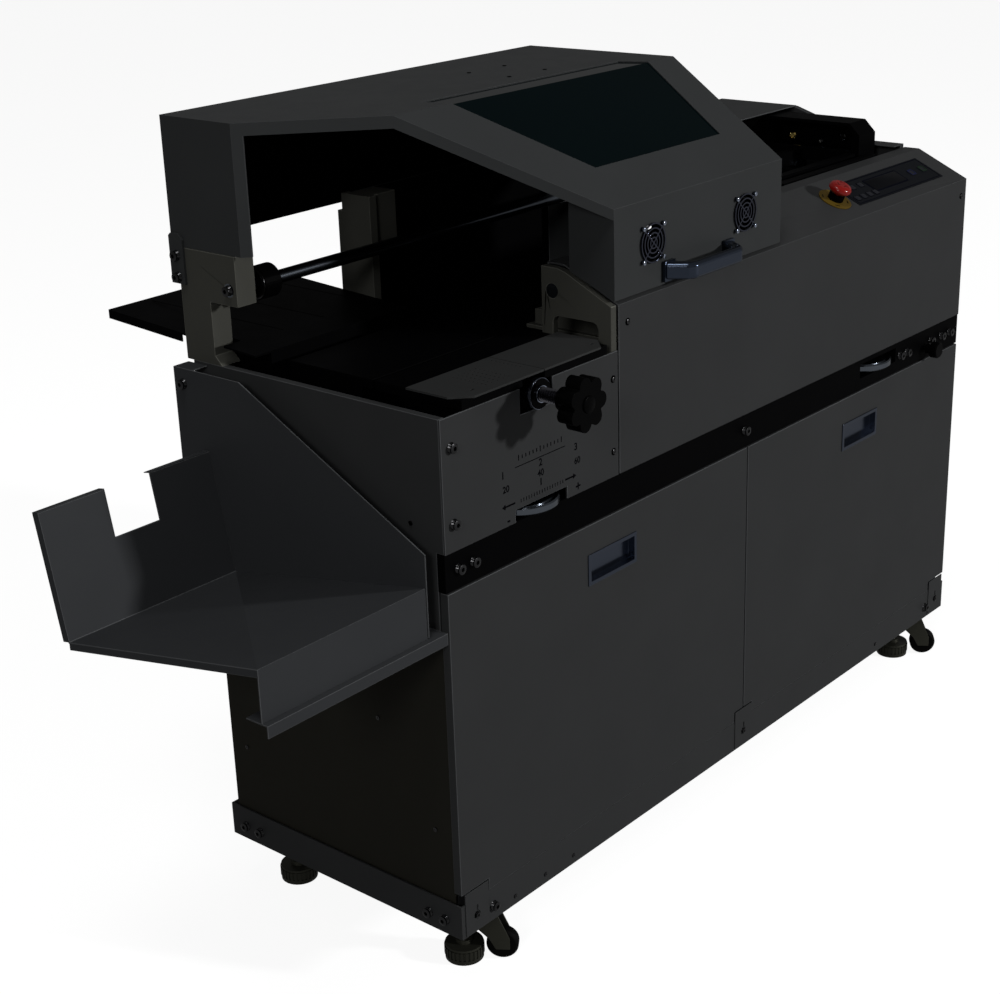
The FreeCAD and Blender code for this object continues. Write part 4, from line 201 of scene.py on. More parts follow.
class NodeSheet:
    """A new node material with short ways to add the nodes used here."""

    def __init__(self, name: str) -> None:
        """Start a material of that name.

        Args:
            name: name of the material.
        """
        self.material = bpy.data.materials.new(name)
        self.material.use_nodes = True
        self.tree = self.material.node_tree
        self.shader = self.tree.nodes["Principled BSDF"]
        self._coords = self.node("ShaderNodeTexCoord")

    def node(self, kind: str, **inputs: object) -> bpy.types.Node:
        """Add a node and set some of its inputs.

        Args:
            kind: type of the node.
            **inputs: values by input name, with a line for each space.

        Returns:
            The node.
        """
        node = self.tree.nodes.new(kind)
        for name, value in inputs.items():
            node.inputs[name.replace("_", " ")].default_value = value
        return node

    def link(self, source: bpy.types.NodeSocket, target: bpy.types.NodeSocket) -> None:
        """Join an output socket to an input socket."""
        self.tree.links.new(source, target)

    def set(self, socket: str, value: object) -> None:
        """Give an input of the shader a number, a colour or another node's output.

        Args:
            socket: name of the input.
            value: what it is given.
        """
        if isinstance(value, bpy.types.NodeSocket):
            self.link(value, self.shader.inputs[socket])
        else:
            self.shader.inputs[socket].default_value = value

    def noise(self, size: float, scale: Point = (1.0, 1.0, 1.0), detail: float = 3.0
              ) -> bpy.types.NodeSocket:
        """Noise over the piece, on its own coordinates.

        Args:
            size: grains to a metre.
            scale: stretch along each axis.
            detail: octaves of the noise.

        Returns:
            The noise's grey output.
        """
        mapping = self.node("ShaderNodeMapping", Scale=scale)
        self.link(self._coords.outputs["Object"], mapping.inputs["Vector"])
        node = self.node("ShaderNodeTexNoise", Scale=size, Detail=detail)
        self.link(mapping.outputs["Vector"], node.inputs["Vector"])
        return node.outputs["Fac"]

    def remap(self, value: bpy.types.NodeSocket, low: float, high: float) -> bpy.types.NodeSocket:
        """Carry 0..1 to low..high.

        Args:
            value: the output to carry over.
            low: result at 0.
            high: result at 1.

        Returns:
            The remapped output.
        """
        node = self.node("ShaderNodeMapRange", To_Min=low, To_Max=high)
        self.link(value, node.inputs["Value"])
        return node.outputs["Result"]

    def mottled(self, colour: Colour, depth: float, size: float) -> bpy.types.NodeSocket:
        """A colour that varies a little from place to place.

        Args:
            colour: mean colour.
            depth: how far it varies, as a share.
            size: patches to a metre.

        Returns:
            The varied colour.
        """
        node = self.tree.nodes.new("ShaderNodeMix")
        node.data_type = "RGBA"
        self.link(self.noise(size, detail=5.0), node.inputs["Factor"])
        for socket, share in ((node.inputs[6], 1.0 - depth), (node.inputs[7], 1.0 + depth)):
            socket.default_value = (*(min(1.0, part * share) for part in colour), 1.0)
        return node.outputs[2]

    def uneven(self, value: float, depth: float) -> bpy.types.NodeSocket:
        """A level that varies by a share of itself, as roughness does with handling marks."""
        return self.remap(self.noise(28.0, detail=6.0), value * (1 - depth), value * (1 + depth))

    def bump(self, height: bpy.types.NodeSocket, strength: float, distance: float) -> None:
        """Give the shader a bump.

        Args:
            height: the output read as height.
            strength: weight of the bump.
            distance: its depth in metres.
        """
        node = self.node("ShaderNodeBump", Strength=strength, Distance=distance)
        self.link(height, node.inputs["Height"])
        self.set("Normal", node.outputs["Normal"])


class Finishes:
    """Every finish on the machine, made once and handed out by name."""

    def __init__(self) -> None:
        """List the finishes."""
        self._made: dict[str, bpy.types.Material] = {}
        kinds = [
            Coat("charcoal_coat", (0.036, 0.037, 0.038), 0.45, bump=0.10, grain=1400.0),
            Coat("cover_coat", (0.037, 0.039, 0.040), 0.42, bump=0.10, grain=1400.0),
            Coat("brown_grey_coat", (0.019, 0.018, 0.014), 0.5, bump=0.10, grain=1400.0),
            # Paler coats for bevelled edges: painted highlight along the folds, together with edge
            # wear
            Coat("coat_edge_highlight_and_wear", (0.085, 0.088, 0.092), 0.35, bump=0.0),
            Coat("black_coat", (0.0012, 0.0012, 0.0014), 0.5, bump=0.1, specular=0.015),
            Coat("casting_enamel", (0.062, 0.062, 0.054), 0.5, bump=0.22, grain=500.0),
            Coat("enamel_edge_highlight_and_wear", (0.120, 0.120, 0.105), 0.4, bump=0.0),
            Coat("tray_coat", (0.039, 0.041, 0.044), 0.5, bump=0.10, grain=1400.0),
            Coat("zinc_plate", (0.16, 0.16, 0.15), 0.36, 0.9, bump=0.05, mottle=0.2),
            Coat("caster_zinc", (0.050, 0.050, 0.040), 0.38, 0.6, bump=0.06, mottle=0.25),
            Coat("bolt_steel", (0.050, 0.050, 0.052), 0.24, 1.0, mottle=0.2, mottle_size=60.0),
            Coat("bright_steel", (0.62, 0.62, 0.60), 0.22, 1.0, mottle=0.1),
            Coat("brass_knob", (0.60, 0.44, 0.14), 0.18, 1.0, mottle=0.1),
            Coat("chrome", (0.42, 0.47, 0.58), 0.12, 1.0, bump=0.0, mottle=0.05),
            Coat("pull_chrome", (0.085, 0.100, 0.135), 0.20, 1.0, bump=0.02, mottle=0.1),
            BrushedMetal("brushed_handle", (0.060, 0.074, 0.105), 0.24),
            BrushedMetal("rod_steel", (0.16, 0.18, 0.21), 0.20),
            Coat("guard_chrome", (0.060, 0.065, 0.090), 0.12, 1.0, bump=0.0, mottle=0.05),
            Coat("black_thread", (0.16, 0.16, 0.18), 0.20, 1.0, bump=0.0),
            Coat("tool_steel", (0.22, 0.22, 0.23), 0.32, 0.95, mottle=0.12),
            Coat("black_moulding", (0.0012, 0.0012, 0.0013), 0.26, bump=0.08, grain=700.0,
                 specular=0.025),
            Coat("rubber_tyre", (0.0022, 0.0022, 0.0020), 0.62, bump=0.2, grain=600.0),
            TintedGlass("tinted_pane", (0.0006, 0.0034, 0.0042)),
            Coat("table_steel", (0.040, 0.041, 0.041), 0.40, 0.2, bump=0.04, mottle=0.10),
            Coat("signal_red", (0.24, 0.006, 0.004), 0.22, coat=0.3, mottle=0.05, specular=0.3),
            Coat("signal_red_print", (0.10, 0.004, 0.003), 0.4, bump=0.0),
            Coat("warning_yellow", (0.105, 0.066, 0.010), 0.4, mottle=0.12),
            Coat("key_blue", (0.008, 0.011, 0.042), 0.35, mottle=0.1),
            Coat("key_green", (0.008, 0.022, 0.010), 0.35, mottle=0.1),
            Coat("key_grey", (0.016, 0.017, 0.021), 0.35, mottle=0.1),
            Coat("membrane_film", (0.0060, 0.0068, 0.0088), 0.36, bump=0.04, specular=0.03),
            Coat("membrane_line", (0.0012, 0.0016, 0.0050), 0.4, bump=0.0, specular=0.02),
            Coat("key_line", (0.0016, 0.0016, 0.0034), 0.4, bump=0.0, specular=0.02),
            Coat("print_dark", (0.0014, 0.0014, 0.0022), 0.5, bump=0.0, specular=0.02),
            Coat("seam_and_shade_black", (0.0008, 0.0008, 0.0008), 0.7, bump=0.0, specular=0.01),
            Glow("display", (0.0030, 0.0032, 0.0042), 0.1),
        ]
        self._kinds = {kind.name: kind for kind in kinds}

    def get(self, name: str) -> bpy.types.Material:
        """The material of that name, built at its first use.

        Args:
            name: name of the finish.

        Returns:
            The material.
        """
        if name not in self._made:
            self._made[name] = self._kinds[name].make()
        return self._made[name]


# Modelling helpers

class Bench:
    """Adds primitives at machine places and shapes them with edit-mode operators."""

    def __init__(self, finishes: Finishes) -> None:
        """Keep the machine's finishes at hand."""
        self.finishes = finishes

    @staticmethod
    def spot(x: float, y: float, z: float) -> Vector:
        """Machine millimetres to the frame's metres."""
        return Vector([(place - start) / 1000
                       for place, start in zip((x, y, z), FRAME_ORIGIN)])

    @staticmethod
    def clear() -> None:
        """Leave edit mode and select nothing."""
        if bpy.context.object and bpy.context.object.mode != "OBJECT":
            bpy.ops.object.mode_set(mode="OBJECT")
        bpy.ops.object.select_all(action="DESELECT")

    @staticmethod
    def pick(obj: bpy.types.Object,
             test: Callable[[bmesh.types.BMFace | bmesh.types.BMEdge], bool],
             edges: bool = False) -> None:
        """Select the faces or edges that pass a test, in edit mode.

        Args:
            obj: the piece in edit mode.
            test: says whether a face or edge is wanted.
            edges: picks edges where it is true, faces otherwise.
        """
        bpy.ops.mesh.select_mode(type="EDGE" if edges else "FACE")
        bpy.ops.mesh.select_all(action="DESELECT")
        mesh = bmesh.from_edit_mesh(obj.data)
        for part in mesh.edges if edges else mesh.faces:
            part.select_set(test(part))
        bmesh.update_edit_mesh(obj.data)

    def activate(self, obj: bpy.types.Object) -> None:
        """Select one piece alone and make it the active one.

        Args:
            obj: the piece.
        """
        self.clear()
        obj.select_set(True)
        bpy.context.view_layer.objects.active = obj

    def start(self, kind: str, **sizes: object) -> bpy.types.Object:
        """Add one primitive at the origin and leave it in edit mode.

        Args:
            kind: "cylinder", "cube", "circle" or "plane".
            **sizes: sizes handed to the primitive, in metres.

        Returns:
            The new object.
        """
        self.clear()
        add = {
            "cylinder": bpy.ops.mesh.primitive_cylinder_add,
            "cube": bpy.ops.mesh.primitive_cube_add,
            "circle": bpy.ops.mesh.primitive_circle_add,
            "plane": bpy.ops.mesh.primitive_plane_add,
        }[kind]
        add(location=(0, 0, 0), **sizes)
        bpy.ops.object.mode_set(mode="EDIT")
        return bpy.context.object

    def leave(self, obj: bpy.types.Object, smooth: float = 35.0) -> bpy.types.Object:
        """Leave edit mode with clean normals and shading by angle.

        Args:
            obj: the piece in edit mode.
            smooth: angle in degrees under which edges look round.

        Returns:
            The same object.
        """
        bpy.ops.mesh.select_all(action="SELECT")
        bpy.ops.mesh.normals_make_consistent(inside=False)
        bpy.ops.object.mode_set(mode="OBJECT")
        self.activate(obj)
        bpy.ops.object.shade_smooth_by_angle(angle=math.radians(smooth))
        return obj

    def put(self, obj: bpy.types.Object, where: Vector, facing: Facing = Facing.UP,
            spin: float = 0.0) -> bpy.types.Object:
        """Turn a piece's Z to its facing, carry it to a place and apply both to the mesh.

        Args:
            obj: the piece, made at the origin.
            where: its place in the frame.
            facing: where its Z looks.
            spin: turn about its own Z first, in degrees.

        Returns:
            The same object.
        """
        up = Vector(facing.value)
        if facing is Facing.UP:
            turn = Matrix.Identity(3)
        else:
            side = Vector((0, 0, 1)).cross(up)
            side = side.normalized() if side.length > 1e-6 else Vector((1, 0, 0))
            turn = Matrix((side, up.cross(side), up)).transposed()
        spun = turn @ Matrix.Rotation(math.radians(spin), 3, "Z")
        obj.data.transform(Matrix.Translation(where) @ spun.to_4x4())
        obj.data.update()
        return obj

    @staticmethod
    def copy(obj: bpy.types.Object) -> bpy.types.Object:
        """A copy with a mesh of its own.

        Args:
            obj: the piece to copy.

        Returns:
            The copy.
        """
        twin = obj.copy()
        twin.data = obj.data.copy()
        bpy.context.scene.collection.objects.link(twin)
        return twin

    def finish(self, parts: Sequence[bpy.types.Object], name: str, finish: str, body: str,
               slot: str) -> None:
        """Join pieces into one, and give it its name, finish and body.

        Args:
            parts: the pieces, each with its place in its mesh.
            name: name of the whole.
            finish: name of its finish.
            body: body it rides on.
            slot: not used.
        """
        self.activate(parts[0])
        for part in parts[1:]:
            part.select_set(True)
        if len(parts) > 1:
            bpy.ops.object.join()
        obj = bpy.context.object
        obj.name = name
        obj.data.name = name
        if not obj.data.materials:
            obj.data.materials.append(self.finishes.get(finish))
        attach(obj, body)
        log.info("piece %s on %s", obj.name, body)

    def apply(self, obj: bpy.types.Object, kind: str, **settings: object) -> None:
        """Add one modifier and apply it at once.

        Args:
            obj: the piece.
            kind: type of the modifier.
            **settings: its settings.
        """
        self.activate(obj)
        modifier = obj.modifiers.new(kind.lower(), kind)
        for key, value in settings.items():
            setattr(modifier, key, value)
        bpy.ops.object.modifier_apply(modifier=modifier.name)

    def drum(self, radius: float, height: float, sides: int) -> bpy.types.Object:
        """A plain cylinder on the XY plane, left in edit mode.

        Args:
            radius: its radius in metres.
            height: its height in metres.
            sides: how many sides the rim has.

        Returns:
            The cylinder.
        """
        obj = self.start("cylinder", vertices=sides, radius=radius, depth=height)
        bpy.ops.transform.translate(value=(0, 0, height / 2))
        return obj

    def slab(self, size: Point, round_by: float = 0.0004, segments: int = 2) -> bpy.types.Object:
        """A thin plate with softened edges, lying on the XY plane.

        Args:
            size: width, depth and thickness in metres.
            round_by: width of the bevel.
            segments: steps of the bevel.

        Returns:
            The plate, its underside at Z 0.
        """
        obj = self.start("cube", size=1.0)
        bpy.ops.transform.resize(value=size)
        bpy.ops.transform.translate(value=(0, 0, size[2] / 2))
        bpy.ops.mesh.select_all(action="SELECT")
        bpy.ops.mesh.bevel(offset=round_by, segments=segments, affect="EDGES")
        return self.leave(obj)

    def disc(self, radius: float, height: float, sides: int = 32,
             round_by: float = 0.0004) -> bpy.types.Object:
        """A disc with a softened rim, standing on the XY plane.

        Args:
            radius: its radius in metres.
            height: its height in metres.
            sides: how many sides the rim has.
            round_by: width of the rim's bevel.

        Returns:
            The disc, its underside at Z 0.
        """
        obj = self.drum(radius, height, sides)
        self.pick(obj, lambda face: face.normal.z > FACES_AXIS)
        bpy.ops.mesh.bevel(offset=round_by, segments=2, affect="EDGES")
        return self.leave(obj)

    def annulus(self, outer: float, inner: float, height: float, sides: int = 48
                ) -> bpy.types.Object:
        """A flat ring with a round hole, standing on the XY plane.

        Args:
            outer: its outer radius in metres.
            inner: the hole's radius in metres.
            height: its height in metres.
            sides: how many sides the rim has.

        Returns:
            The ring, its underside at Z 0.
        """
        obj = self.drum(outer, height, sides)
        self.pick(obj, lambda face: abs(face.normal.z) > FACES_AXIS)
        bpy.ops.mesh.inset(thickness=outer - inner, depth=0.0)
        bpy.ops.mesh.delete(type="FACE")
        self.pick(obj, lambda edge: edge.is_boundary, edges=True)
        bpy.ops.mesh.bridge_edge_loops()
        self.pick(obj, lambda edge: len(edge.link_faces) == 2
                  and edge.calc_face_angle(0.0) > 1.2, edges=True)
        bpy.ops.mesh.bevel(offset=min(height * 0.25, (outer - inner) * 0.2), segments=2,
                           affect="EDGES")
        return self.leave(obj)

    def _rounded(self, width: float, depth: float, corner: float) -> bpy.types.Object:
        """One flat face with rounded corners, selected in edit mode.

        Args:
            width: its width in metres.
            depth: its depth in metres.
            corner: radius of its corners.

        Returns:
            The face's object.
        """
        obj = self.start("plane", size=1.0)
        bpy.ops.transform.resize(value=(width, depth, 1.0))
        bpy.ops.mesh.bevel(offset=corner, segments=5, affect="VERTICES")
        bpy.ops.mesh.select_all(action="SELECT")
        return obj

    @staticmethod
    def raised(height: float) -> None:
        """Extrude what is selected straight up by that many metres."""
        bpy.ops.mesh.extrude_region_move(TRANSFORM_OT_translate={"value": (0, 0, height)})

    def outline(self, width: float, depth: float, line: float, thick: float,
                corner: float) -> bpy.types.Object:
        """A flat rounded frame, such as a printed border or the rim of a key.

        Args:
            width: outer width in metres.
            depth: outer depth in metres.
            line: width of the frame's line.
            thick: how far it stands up.
            corner: radius of its outer corners.

        Returns:
            The frame, its underside at Z 0.
        """
        obj = self._rounded(width, depth, corner)
        bpy.ops.mesh.inset(thickness=line, depth=0.0)
        bpy.ops.mesh.delete(type="FACE")
        bpy.ops.mesh.select_all(action="SELECT")
        self.raised(thick)
        return self.leave(obj)

    def pad(self, width: float, depth: float, thick: float, corner: float) -> bpy.types.Object:
        """A flat rounded plate with a softened top, such as a key's face.

        Args:
            width: its width in metres.
            depth: its depth in metres.
            thick: its thickness in metres.
            corner: radius of its corners.

        Returns:
            The plate, its underside at Z 0.
        """
        obj = self._rounded(width, depth, corner)
        self.raised(thick)
        bpy.ops.mesh.normals_make_consistent(inside=False)
        self.pick(obj, lambda face: face.calc_center_median().z > thick * 0.9)
        bpy.ops.mesh.inset(thickness=thick * 0.6, depth=thick * 0.3)
        return self.leave(obj)

    def ribbed(self, radius: float, height: float, ribs: int, depth: float) -> bpy.types.Object:
        """A short cylinder with every second side of its rim drawn in.

        Args:
            radius: its outer radius in metres.
            height: its height in metres.
            ribs: how many ribs go round it.
            depth: depth of the grooves.

        Returns:
            The cylinder, its underside at Z 0.
        """
        sides = ribs * 2
        obj = self.drum(radius, height, sides)
        self.pick(obj, lambda face: abs(face.normal.z) < 0.1
                  and int(round(math.atan2(face.normal.y, face.normal.x)
                                / math.tau * sides - 0.5)) % 2 == 0)
        bpy.ops.mesh.extrude_faces_move(TRANSFORM_OT_shrink_fatten={"value": -depth})
        return self.leave(obj, 20.0)

    def stain(self, obj: bpy.types.Object, finish: str,
              test: Callable[[bmesh.types.BMFace], bool]) -> None:
        """Give some faces of a piece in edit mode a second finish.

        Args:
            obj: the piece in edit mode, with its first finish on it.
            finish: name of the second finish.
            test: says whether a face takes it.
        """
        obj.data.materials.append(self.finishes.get(finish))
        self.pick(obj, test)
        obj.active_material_index = len(obj.data.materials) - 1
        bpy.ops.object.material_slot_assign()


# Small fittings

@dataclass
class Screw:
    """A small machine screw with a domed head and a drive recess, its floor in painted shade by
    default.
    """

    radius: float = 0.0042
    height: float = 0.0020
    drive: Drive = Drive.CROSS
    finish: str = "bolt_steel"
    # Black in the drive recess is painted shade
    recess: str = "seam_and_shade_black"

    def build(self, bench: Bench) -> bpy.types.Object:
        """Model one screw at the origin, head up.

        Args:
            bench: the modelling bench.

        Returns:
            The screw.
        """
        obj = bench.drum(self.radius, self.height, 24)
        bench.pick(obj, lambda face: face.normal.z > FACES_AXIS)
        bpy.ops.mesh.inset(thickness=self.radius * 0.18, depth=self.height * 0.22)
        bpy.ops.mesh.inset(thickness=self.radius * 0.22, depth=self.height * 0.10)
        bpy.ops.mesh.inset(thickness=self.radius * 0.14, depth=0.0)
        if self.drive is Drive.SOCKET:
            self._six_side(obj)
            bench.raised(-self.height * 0.7)
        else:
            bpy.ops.transform.resize(value=(0.95, 0.3, 1.0))
            bench.raised(-self.height * 0.5)
        obj.data.materials.append(bench.finishes.get(self.finish))
        lowest = self.height * (0.75 if self.drive is Drive.SOCKET else 0.95)
        # The recess floor is stained as painted light: black as painted shade, bright steel as
        # painted highlight
        bench.stain(obj, self.recess, lambda face: face.normal.z > FACES_AXIS
                    and face.calc_center_median().z < lowest)
        return bench.leave(obj, 30.0)

    @staticmethod
    def _six_side(obj: bpy.types.Object) -> None:
        """Draw the selected round face into a hexagon for the key.

        Args:
            obj: the screw in edit mode.
        """
        mesh = bmesh.from_edit_mesh(obj.data)
        for vertex in (vertex for vertex in mesh.verts if vertex.select):
            angle = math.atan2(vertex.co.y, vertex.co.x) % (math.pi / 3) - math.pi / 6
            reach = math.cos(math.pi / 6) / math.cos(angle)
            vertex.co.x *= reach
            vertex.co.y *= reach
        bmesh.update_edit_mesh(obj.data)


# Sub-assemblies

def seats(places: Iterable[Point], facing: Facing) -> list[Seat]:
    """Pair each place with the way it faces."""
    return [(place, facing) for place in places]


def by_name(groups: Iterable[tuple[object, str]]) -> dict[str, object]:
    """Each name with the value of its group, the names of a group set apart by spaces."""
    return {name: value for value, names in groups for name in names.split()}


@dataclass
class Fitting:
    """Small pieces of one part of the machine, made on one bench."""

    bench: Bench

    def build(self) -> None:
        """Make the pieces."""
        raise NotImplementedError

    def set(self, obj: bpy.types.Object, x: float, y: float, z: float,
            facing: Facing = Facing.UP, spin: float = 0.0) -> bpy.types.Object:
        """Put a piece at a place in the machine's millimetres."""
        return self.bench.put(obj, self.bench.spot(x, y, z), facing, spin)

    def screws(self, name: str, body: str, places: Sequence[Seat], screw: Screw) -> None:
        """Model a screw once, set a copy at each place and join them into one piece.

        Args:
            name: name of the piece.
            body: body it rides on.
            places: each screw's place and facing.
            screw: the kind of screw.
        """
        model = screw.build(self.bench)
        copies = [self.set(self.bench.copy(model), *place, facing, SCREW_TURN * index)
                  for index, (place, facing) in enumerate(places)]
        bpy.data.objects.remove(model)
        self.bench.finish(copies, name, screw.finish, body, "zinc")


@dataclass
class PanelFittings(Fitting):
    """Screws, countersinks in painted shade, bolt crowns and stud crowns of the fixed panels."""

    front_screws: tuple[Point, ...] = (
        (379, 0, 769), (379, 0, 656), (416, 0, 848), (1461, 0, 848),
    )
    rail_screws: tuple[Point, ...] = (
        (122, 0.3, 14), (195, 0.3, 15.5), (265, 0.3, 14.6), (1211, 0.3, 17), (1413, 0.3, 15),
    )
    left_screws: tuple[Point, ...] = (
        (4, 48, 170), (4, 453, 172), (4, 153, 320), (0, 62, 650), (0, 470, 760),
    )
    front_bolts: tuple[Point, ...] = (
        (72, -4.7, 24), (1408, -4.7, 24), (20, -5, 766), (20, -5, 656),
        (28, -3, 587.5), (59, -3, 587.5), (739, -3, 587.5), (1258, -3, 587.5),
        (1284, -3, 587.5), (1375, -3, 587.5), (1417, -3, 587.5), (1449, -3, 587.5),
    )
    left_bolts: tuple[Point, ...] = (
        (-5, 33, 24), (-5, 66, 24), (-5, 434, 24), (-5, 467, 24), (-5, 398, 928),
        (-9.3, 501, 935), (-9.3, 501, 967), (-35, 482, 782),
    )
    right_bolts: tuple[Point, ...] = (
        (1485, 33, 24), (1485, 66, 24), (1485, 434, 24), (1485, 467, 24),
    )
    studs: tuple[Point, ...] = ((33, -2.7, 29), (746, -2.7, 29), (1447, -2.7, 29))

    def build(self) -> None:
        """Set the screws and the crowns."""
        fronts = seats(self.front_screws, Facing.FRONT)
        # Bright steel in the panel screws' sockets is a painted highlight
        self.screws("panel_screws", "cabinet", fronts,
                    Screw(radius=0.0040, height=0.0016, drive=Drive.SOCKET, recess="bright_steel"))
        self.screws("small_screws", "cabinet", seats(self.left_screws, Facing.LEFT)
                    + seats(self.rail_screws, Facing.FRONT), Screw(radius=0.0036, height=0.0012))
        # Black rings round the front screws are painted shade in the countersinks
        sinks = [self.set(self.bench.annulus(outer=0.0058, inner=0.0040, height=0.0003,
                                             sides=24), *place, facing)
                 for place, facing in fronts]
        self.bench.finish(sinks, "screw_sinks", "seam_and_shade_black", "cabinet", "charcoal_paint")
        self.screws("bolt_crowns", "cabinet", seats(self.front_bolts, Facing.FRONT)
                    + seats(self.left_bolts, Facing.LEFT)
                    + seats(self.right_bolts, Facing.RIGHT),
                    Screw(radius=0.0074, height=0.0022, drive=Drive.SOCKET))
        self.screws("stud_crowns", "cabinet", seats(self.studs, Facing.FRONT),
                    Screw(radius=0.0044, height=0.0012, drive=Drive.SOCKET))


@dataclass
class ThicknessScale(Fitting):
    """Plain printed scale beside the star knob: numbers, ticks, and arrows for the handwheel.

    A bar is given by x, z, width and height; a row of ticks by its first x, step, count, z,
    width and the height of every sixth; a number by its text, x, z and height; an arrow head by
    x and the way it points, in degrees.
    """

    bars: tuple[tuple[float, float, float, float], ...] = (
        (207, 698.5, 0.112, 0.0013), (207, 661, 0.0026, 0.0110),
        (138, 646.5, 0.022, 0.0028), (272, 646.5, 0.020, 0.0028))
    rows: tuple[tuple[float, float, int, float, float, float], ...] = (
        (159, 8.0, 13, 711, 0.0018, 0.0085), (162, 5.9, 17, 646, 0.0015, 0.0055))
    tick: float = 0.0055
    numbers: tuple[tuple[str, float, float, float], ...] = (
        ("1", 124, 694, 0.011), ("20", 130, 672, 0.010), ("2", 207, 690, 0.011),
        ("40", 207, 674, 0.010), ("3", 288, 690, 0.011), ("60", 291, 668, 0.010),
        ("-", 134, 625, 0.015), ("+", 292, 627, 0.015))
    bold: float = 0.034
    heads: tuple[tuple[float, float], ...] = ((125, 180.0), (283, 0.0))
    heads_z: float = 646.5

    def build(self) -> None:
        """Print the bars, the ticks, the numbers and the arrow heads."""
        marks = [self._bar(*bar) for bar in self.bars]
        for first, step, count, z, wide, tall in self.rows:
            marks += [self._bar(first + index * step, z, wide,
                                tall if index % 6 == 0 else self.tick)
                      for index in range(count)]
        marks += [self._number(*number) for number in self.numbers]
        marks += [self._head(*head) for head in self.heads]
        self.bench.finish(marks, "thickness_scale", "print_dark", "cabinet", "charcoal_paint")

    def _bar(self, x: float, z: float, wide: float, tall: float) -> bpy.types.Object:
        """Print one bar on the front panel."""
        bar = self.bench.slab((wide, tall, PRINT_HEIGHT), PRINT_BEVEL, segments=1)
        return self.set(bar, x, 0, z, Facing.FRONT)

    def _number(self, text: str, x: float, z: float, height: float) -> bpy.types.Object:
        """Set a number or sign as a thin mesh.

        Args:
            text: what it says.
            x: its middle along the machine.
            z: its middle above the base.
            height: height of its figures in metres.

        Returns:
            The mesh.
        """
        self.bench.clear()
        bpy.ops.object.text_add(location=(0, 0, 0))
        letters = bpy.context.object.data
        letters.body = text
        letters.size = height * 1.4
        letters.align_x = "CENTER"
        letters.align_y = "CENTER"
        letters.extrude = PRINT_HEIGHT / 2
        letters.offset = height * self.bold
        bpy.ops.object.convert(target="MESH")
        return self.set(bpy.context.object, x, -0.05, z, Facing.FRONT)

    def _head(self, x: float, way: float) -> bpy.types.Object:
        """Print one arrow head.

        Args:
            x: its middle along the machine.
            way: the way it points, in degrees.

        Returns:
            The head.
        """
        head = self.bench.start("cylinder", vertices=3, radius=0.0048,
                                depth=PRINT_HEIGHT)
        self.bench.leave(head)
        head.data.transform(Matrix.Rotation(math.radians(way - 90.0), 4, "Z"))
        return self.set(head, x, -0.1, self.heads_z, Facing.FRONT)


@dataclass
class SlopeFitting(Fitting):
    """Pieces that lie on the sloping control panel."""

    fold_z: float = 878.0
    rise: float = 47.0
    run: float = 101.0

    def lay(self, obj: bpy.types.Object, x: float, along: float, above: float) -> bpy.types.Object:
        """Set a piece on the slope, its Z out of it.

        Args:
            obj: the piece, made at the origin.
            x: along the machine.
            along: up the slope from its fold.
            above: height over the bare panel.

        Returns:
            The same object.
        """
        slant = math.hypot(self.rise, self.run)
        y = along * self.run / slant - above * self.rise / slant
        z = self.fold_z + along * self.rise / slant + above * self.run / slant
        return self.set(obj, x, y, z, Facing.SLOPE)


@dataclass
class ControlPanel(SlopeFitting):
    """Display, keys and printed frames on the control membrane.

    A frame is given by its x, its place up the slope, width, depth, line and corner radius.
    """

    film: float = 1.2
    print_rise: float = 0.0003
    display: tuple[float, float] = (1268.5, 60)
    frames: tuple[tuple[float, float, float, float, float, float], ...] = (
        (1276, 57.5, 0.294, 0.060, 0.0016, 0.005), (1268.5, 60, 0.117, 0.036, 0.0030, 0.003))
    small_keys: tuple[tuple[float, float], ...] = (
        (1142, 42), (1163, 42), (1184, 42), (1205, 42), (1166, 70), (1194, 70))
    large_keys: tuple[tuple[str, float, str], ...] = (
        ("key_blue", 1361, "blue_plastic"), ("key_green", 1401, "green_plastic"))
    key_along: float = 58.0
    key_top: float = 2.3

    def build(self) -> None:
        """Lay the display and the printed lines, and raise the keys."""
        bench = self.bench
        glass = bench.pad(width=0.110, depth=0.030, thick=0.0005, corner=0.002)
        bench.finish([self.lay(glass, *self.display, self.film)], "display_glass", "display",
                     "cabinet", "membrane")
        lines = [self.lay(bench.outline(wide, deep, line, self.print_rise, corner), x, along,
                          self.film)
                 for x, along, wide, deep, line, corner in self.frames]
        bench.finish(lines, "membrane_lines", "membrane_line", "cabinet", "membrane")
        faces, rims = [], []
        for place in self.small_keys:
            face = bench.pad(width=0.0125, depth=0.0115, thick=0.0007, corner=0.002)
            faces.append(self.lay(face, *place, self.film))
            rim = bench.outline(width=0.0150, depth=0.0140, line=0.0013, thick=0.0004,
                                corner=0.003)
            rims.append(self.lay(rim, *place, self.film))
        bench.finish(faces, "small_keys", "key_grey", "cabinet", "membrane")
        bench.finish(rims, "small_key_rims", "key_line", "cabinet", "membrane")
        for name, x, slot in self.large_keys:
            rim = bench.outline(width=0.0158, depth=0.0158, line=0.0026,
                                thick=self.print_rise, corner=0.003)
            bench.finish([self.lay(rim, x, self.key_along, self.key_top)], f"{name}_rim", name,
                         name, slot)


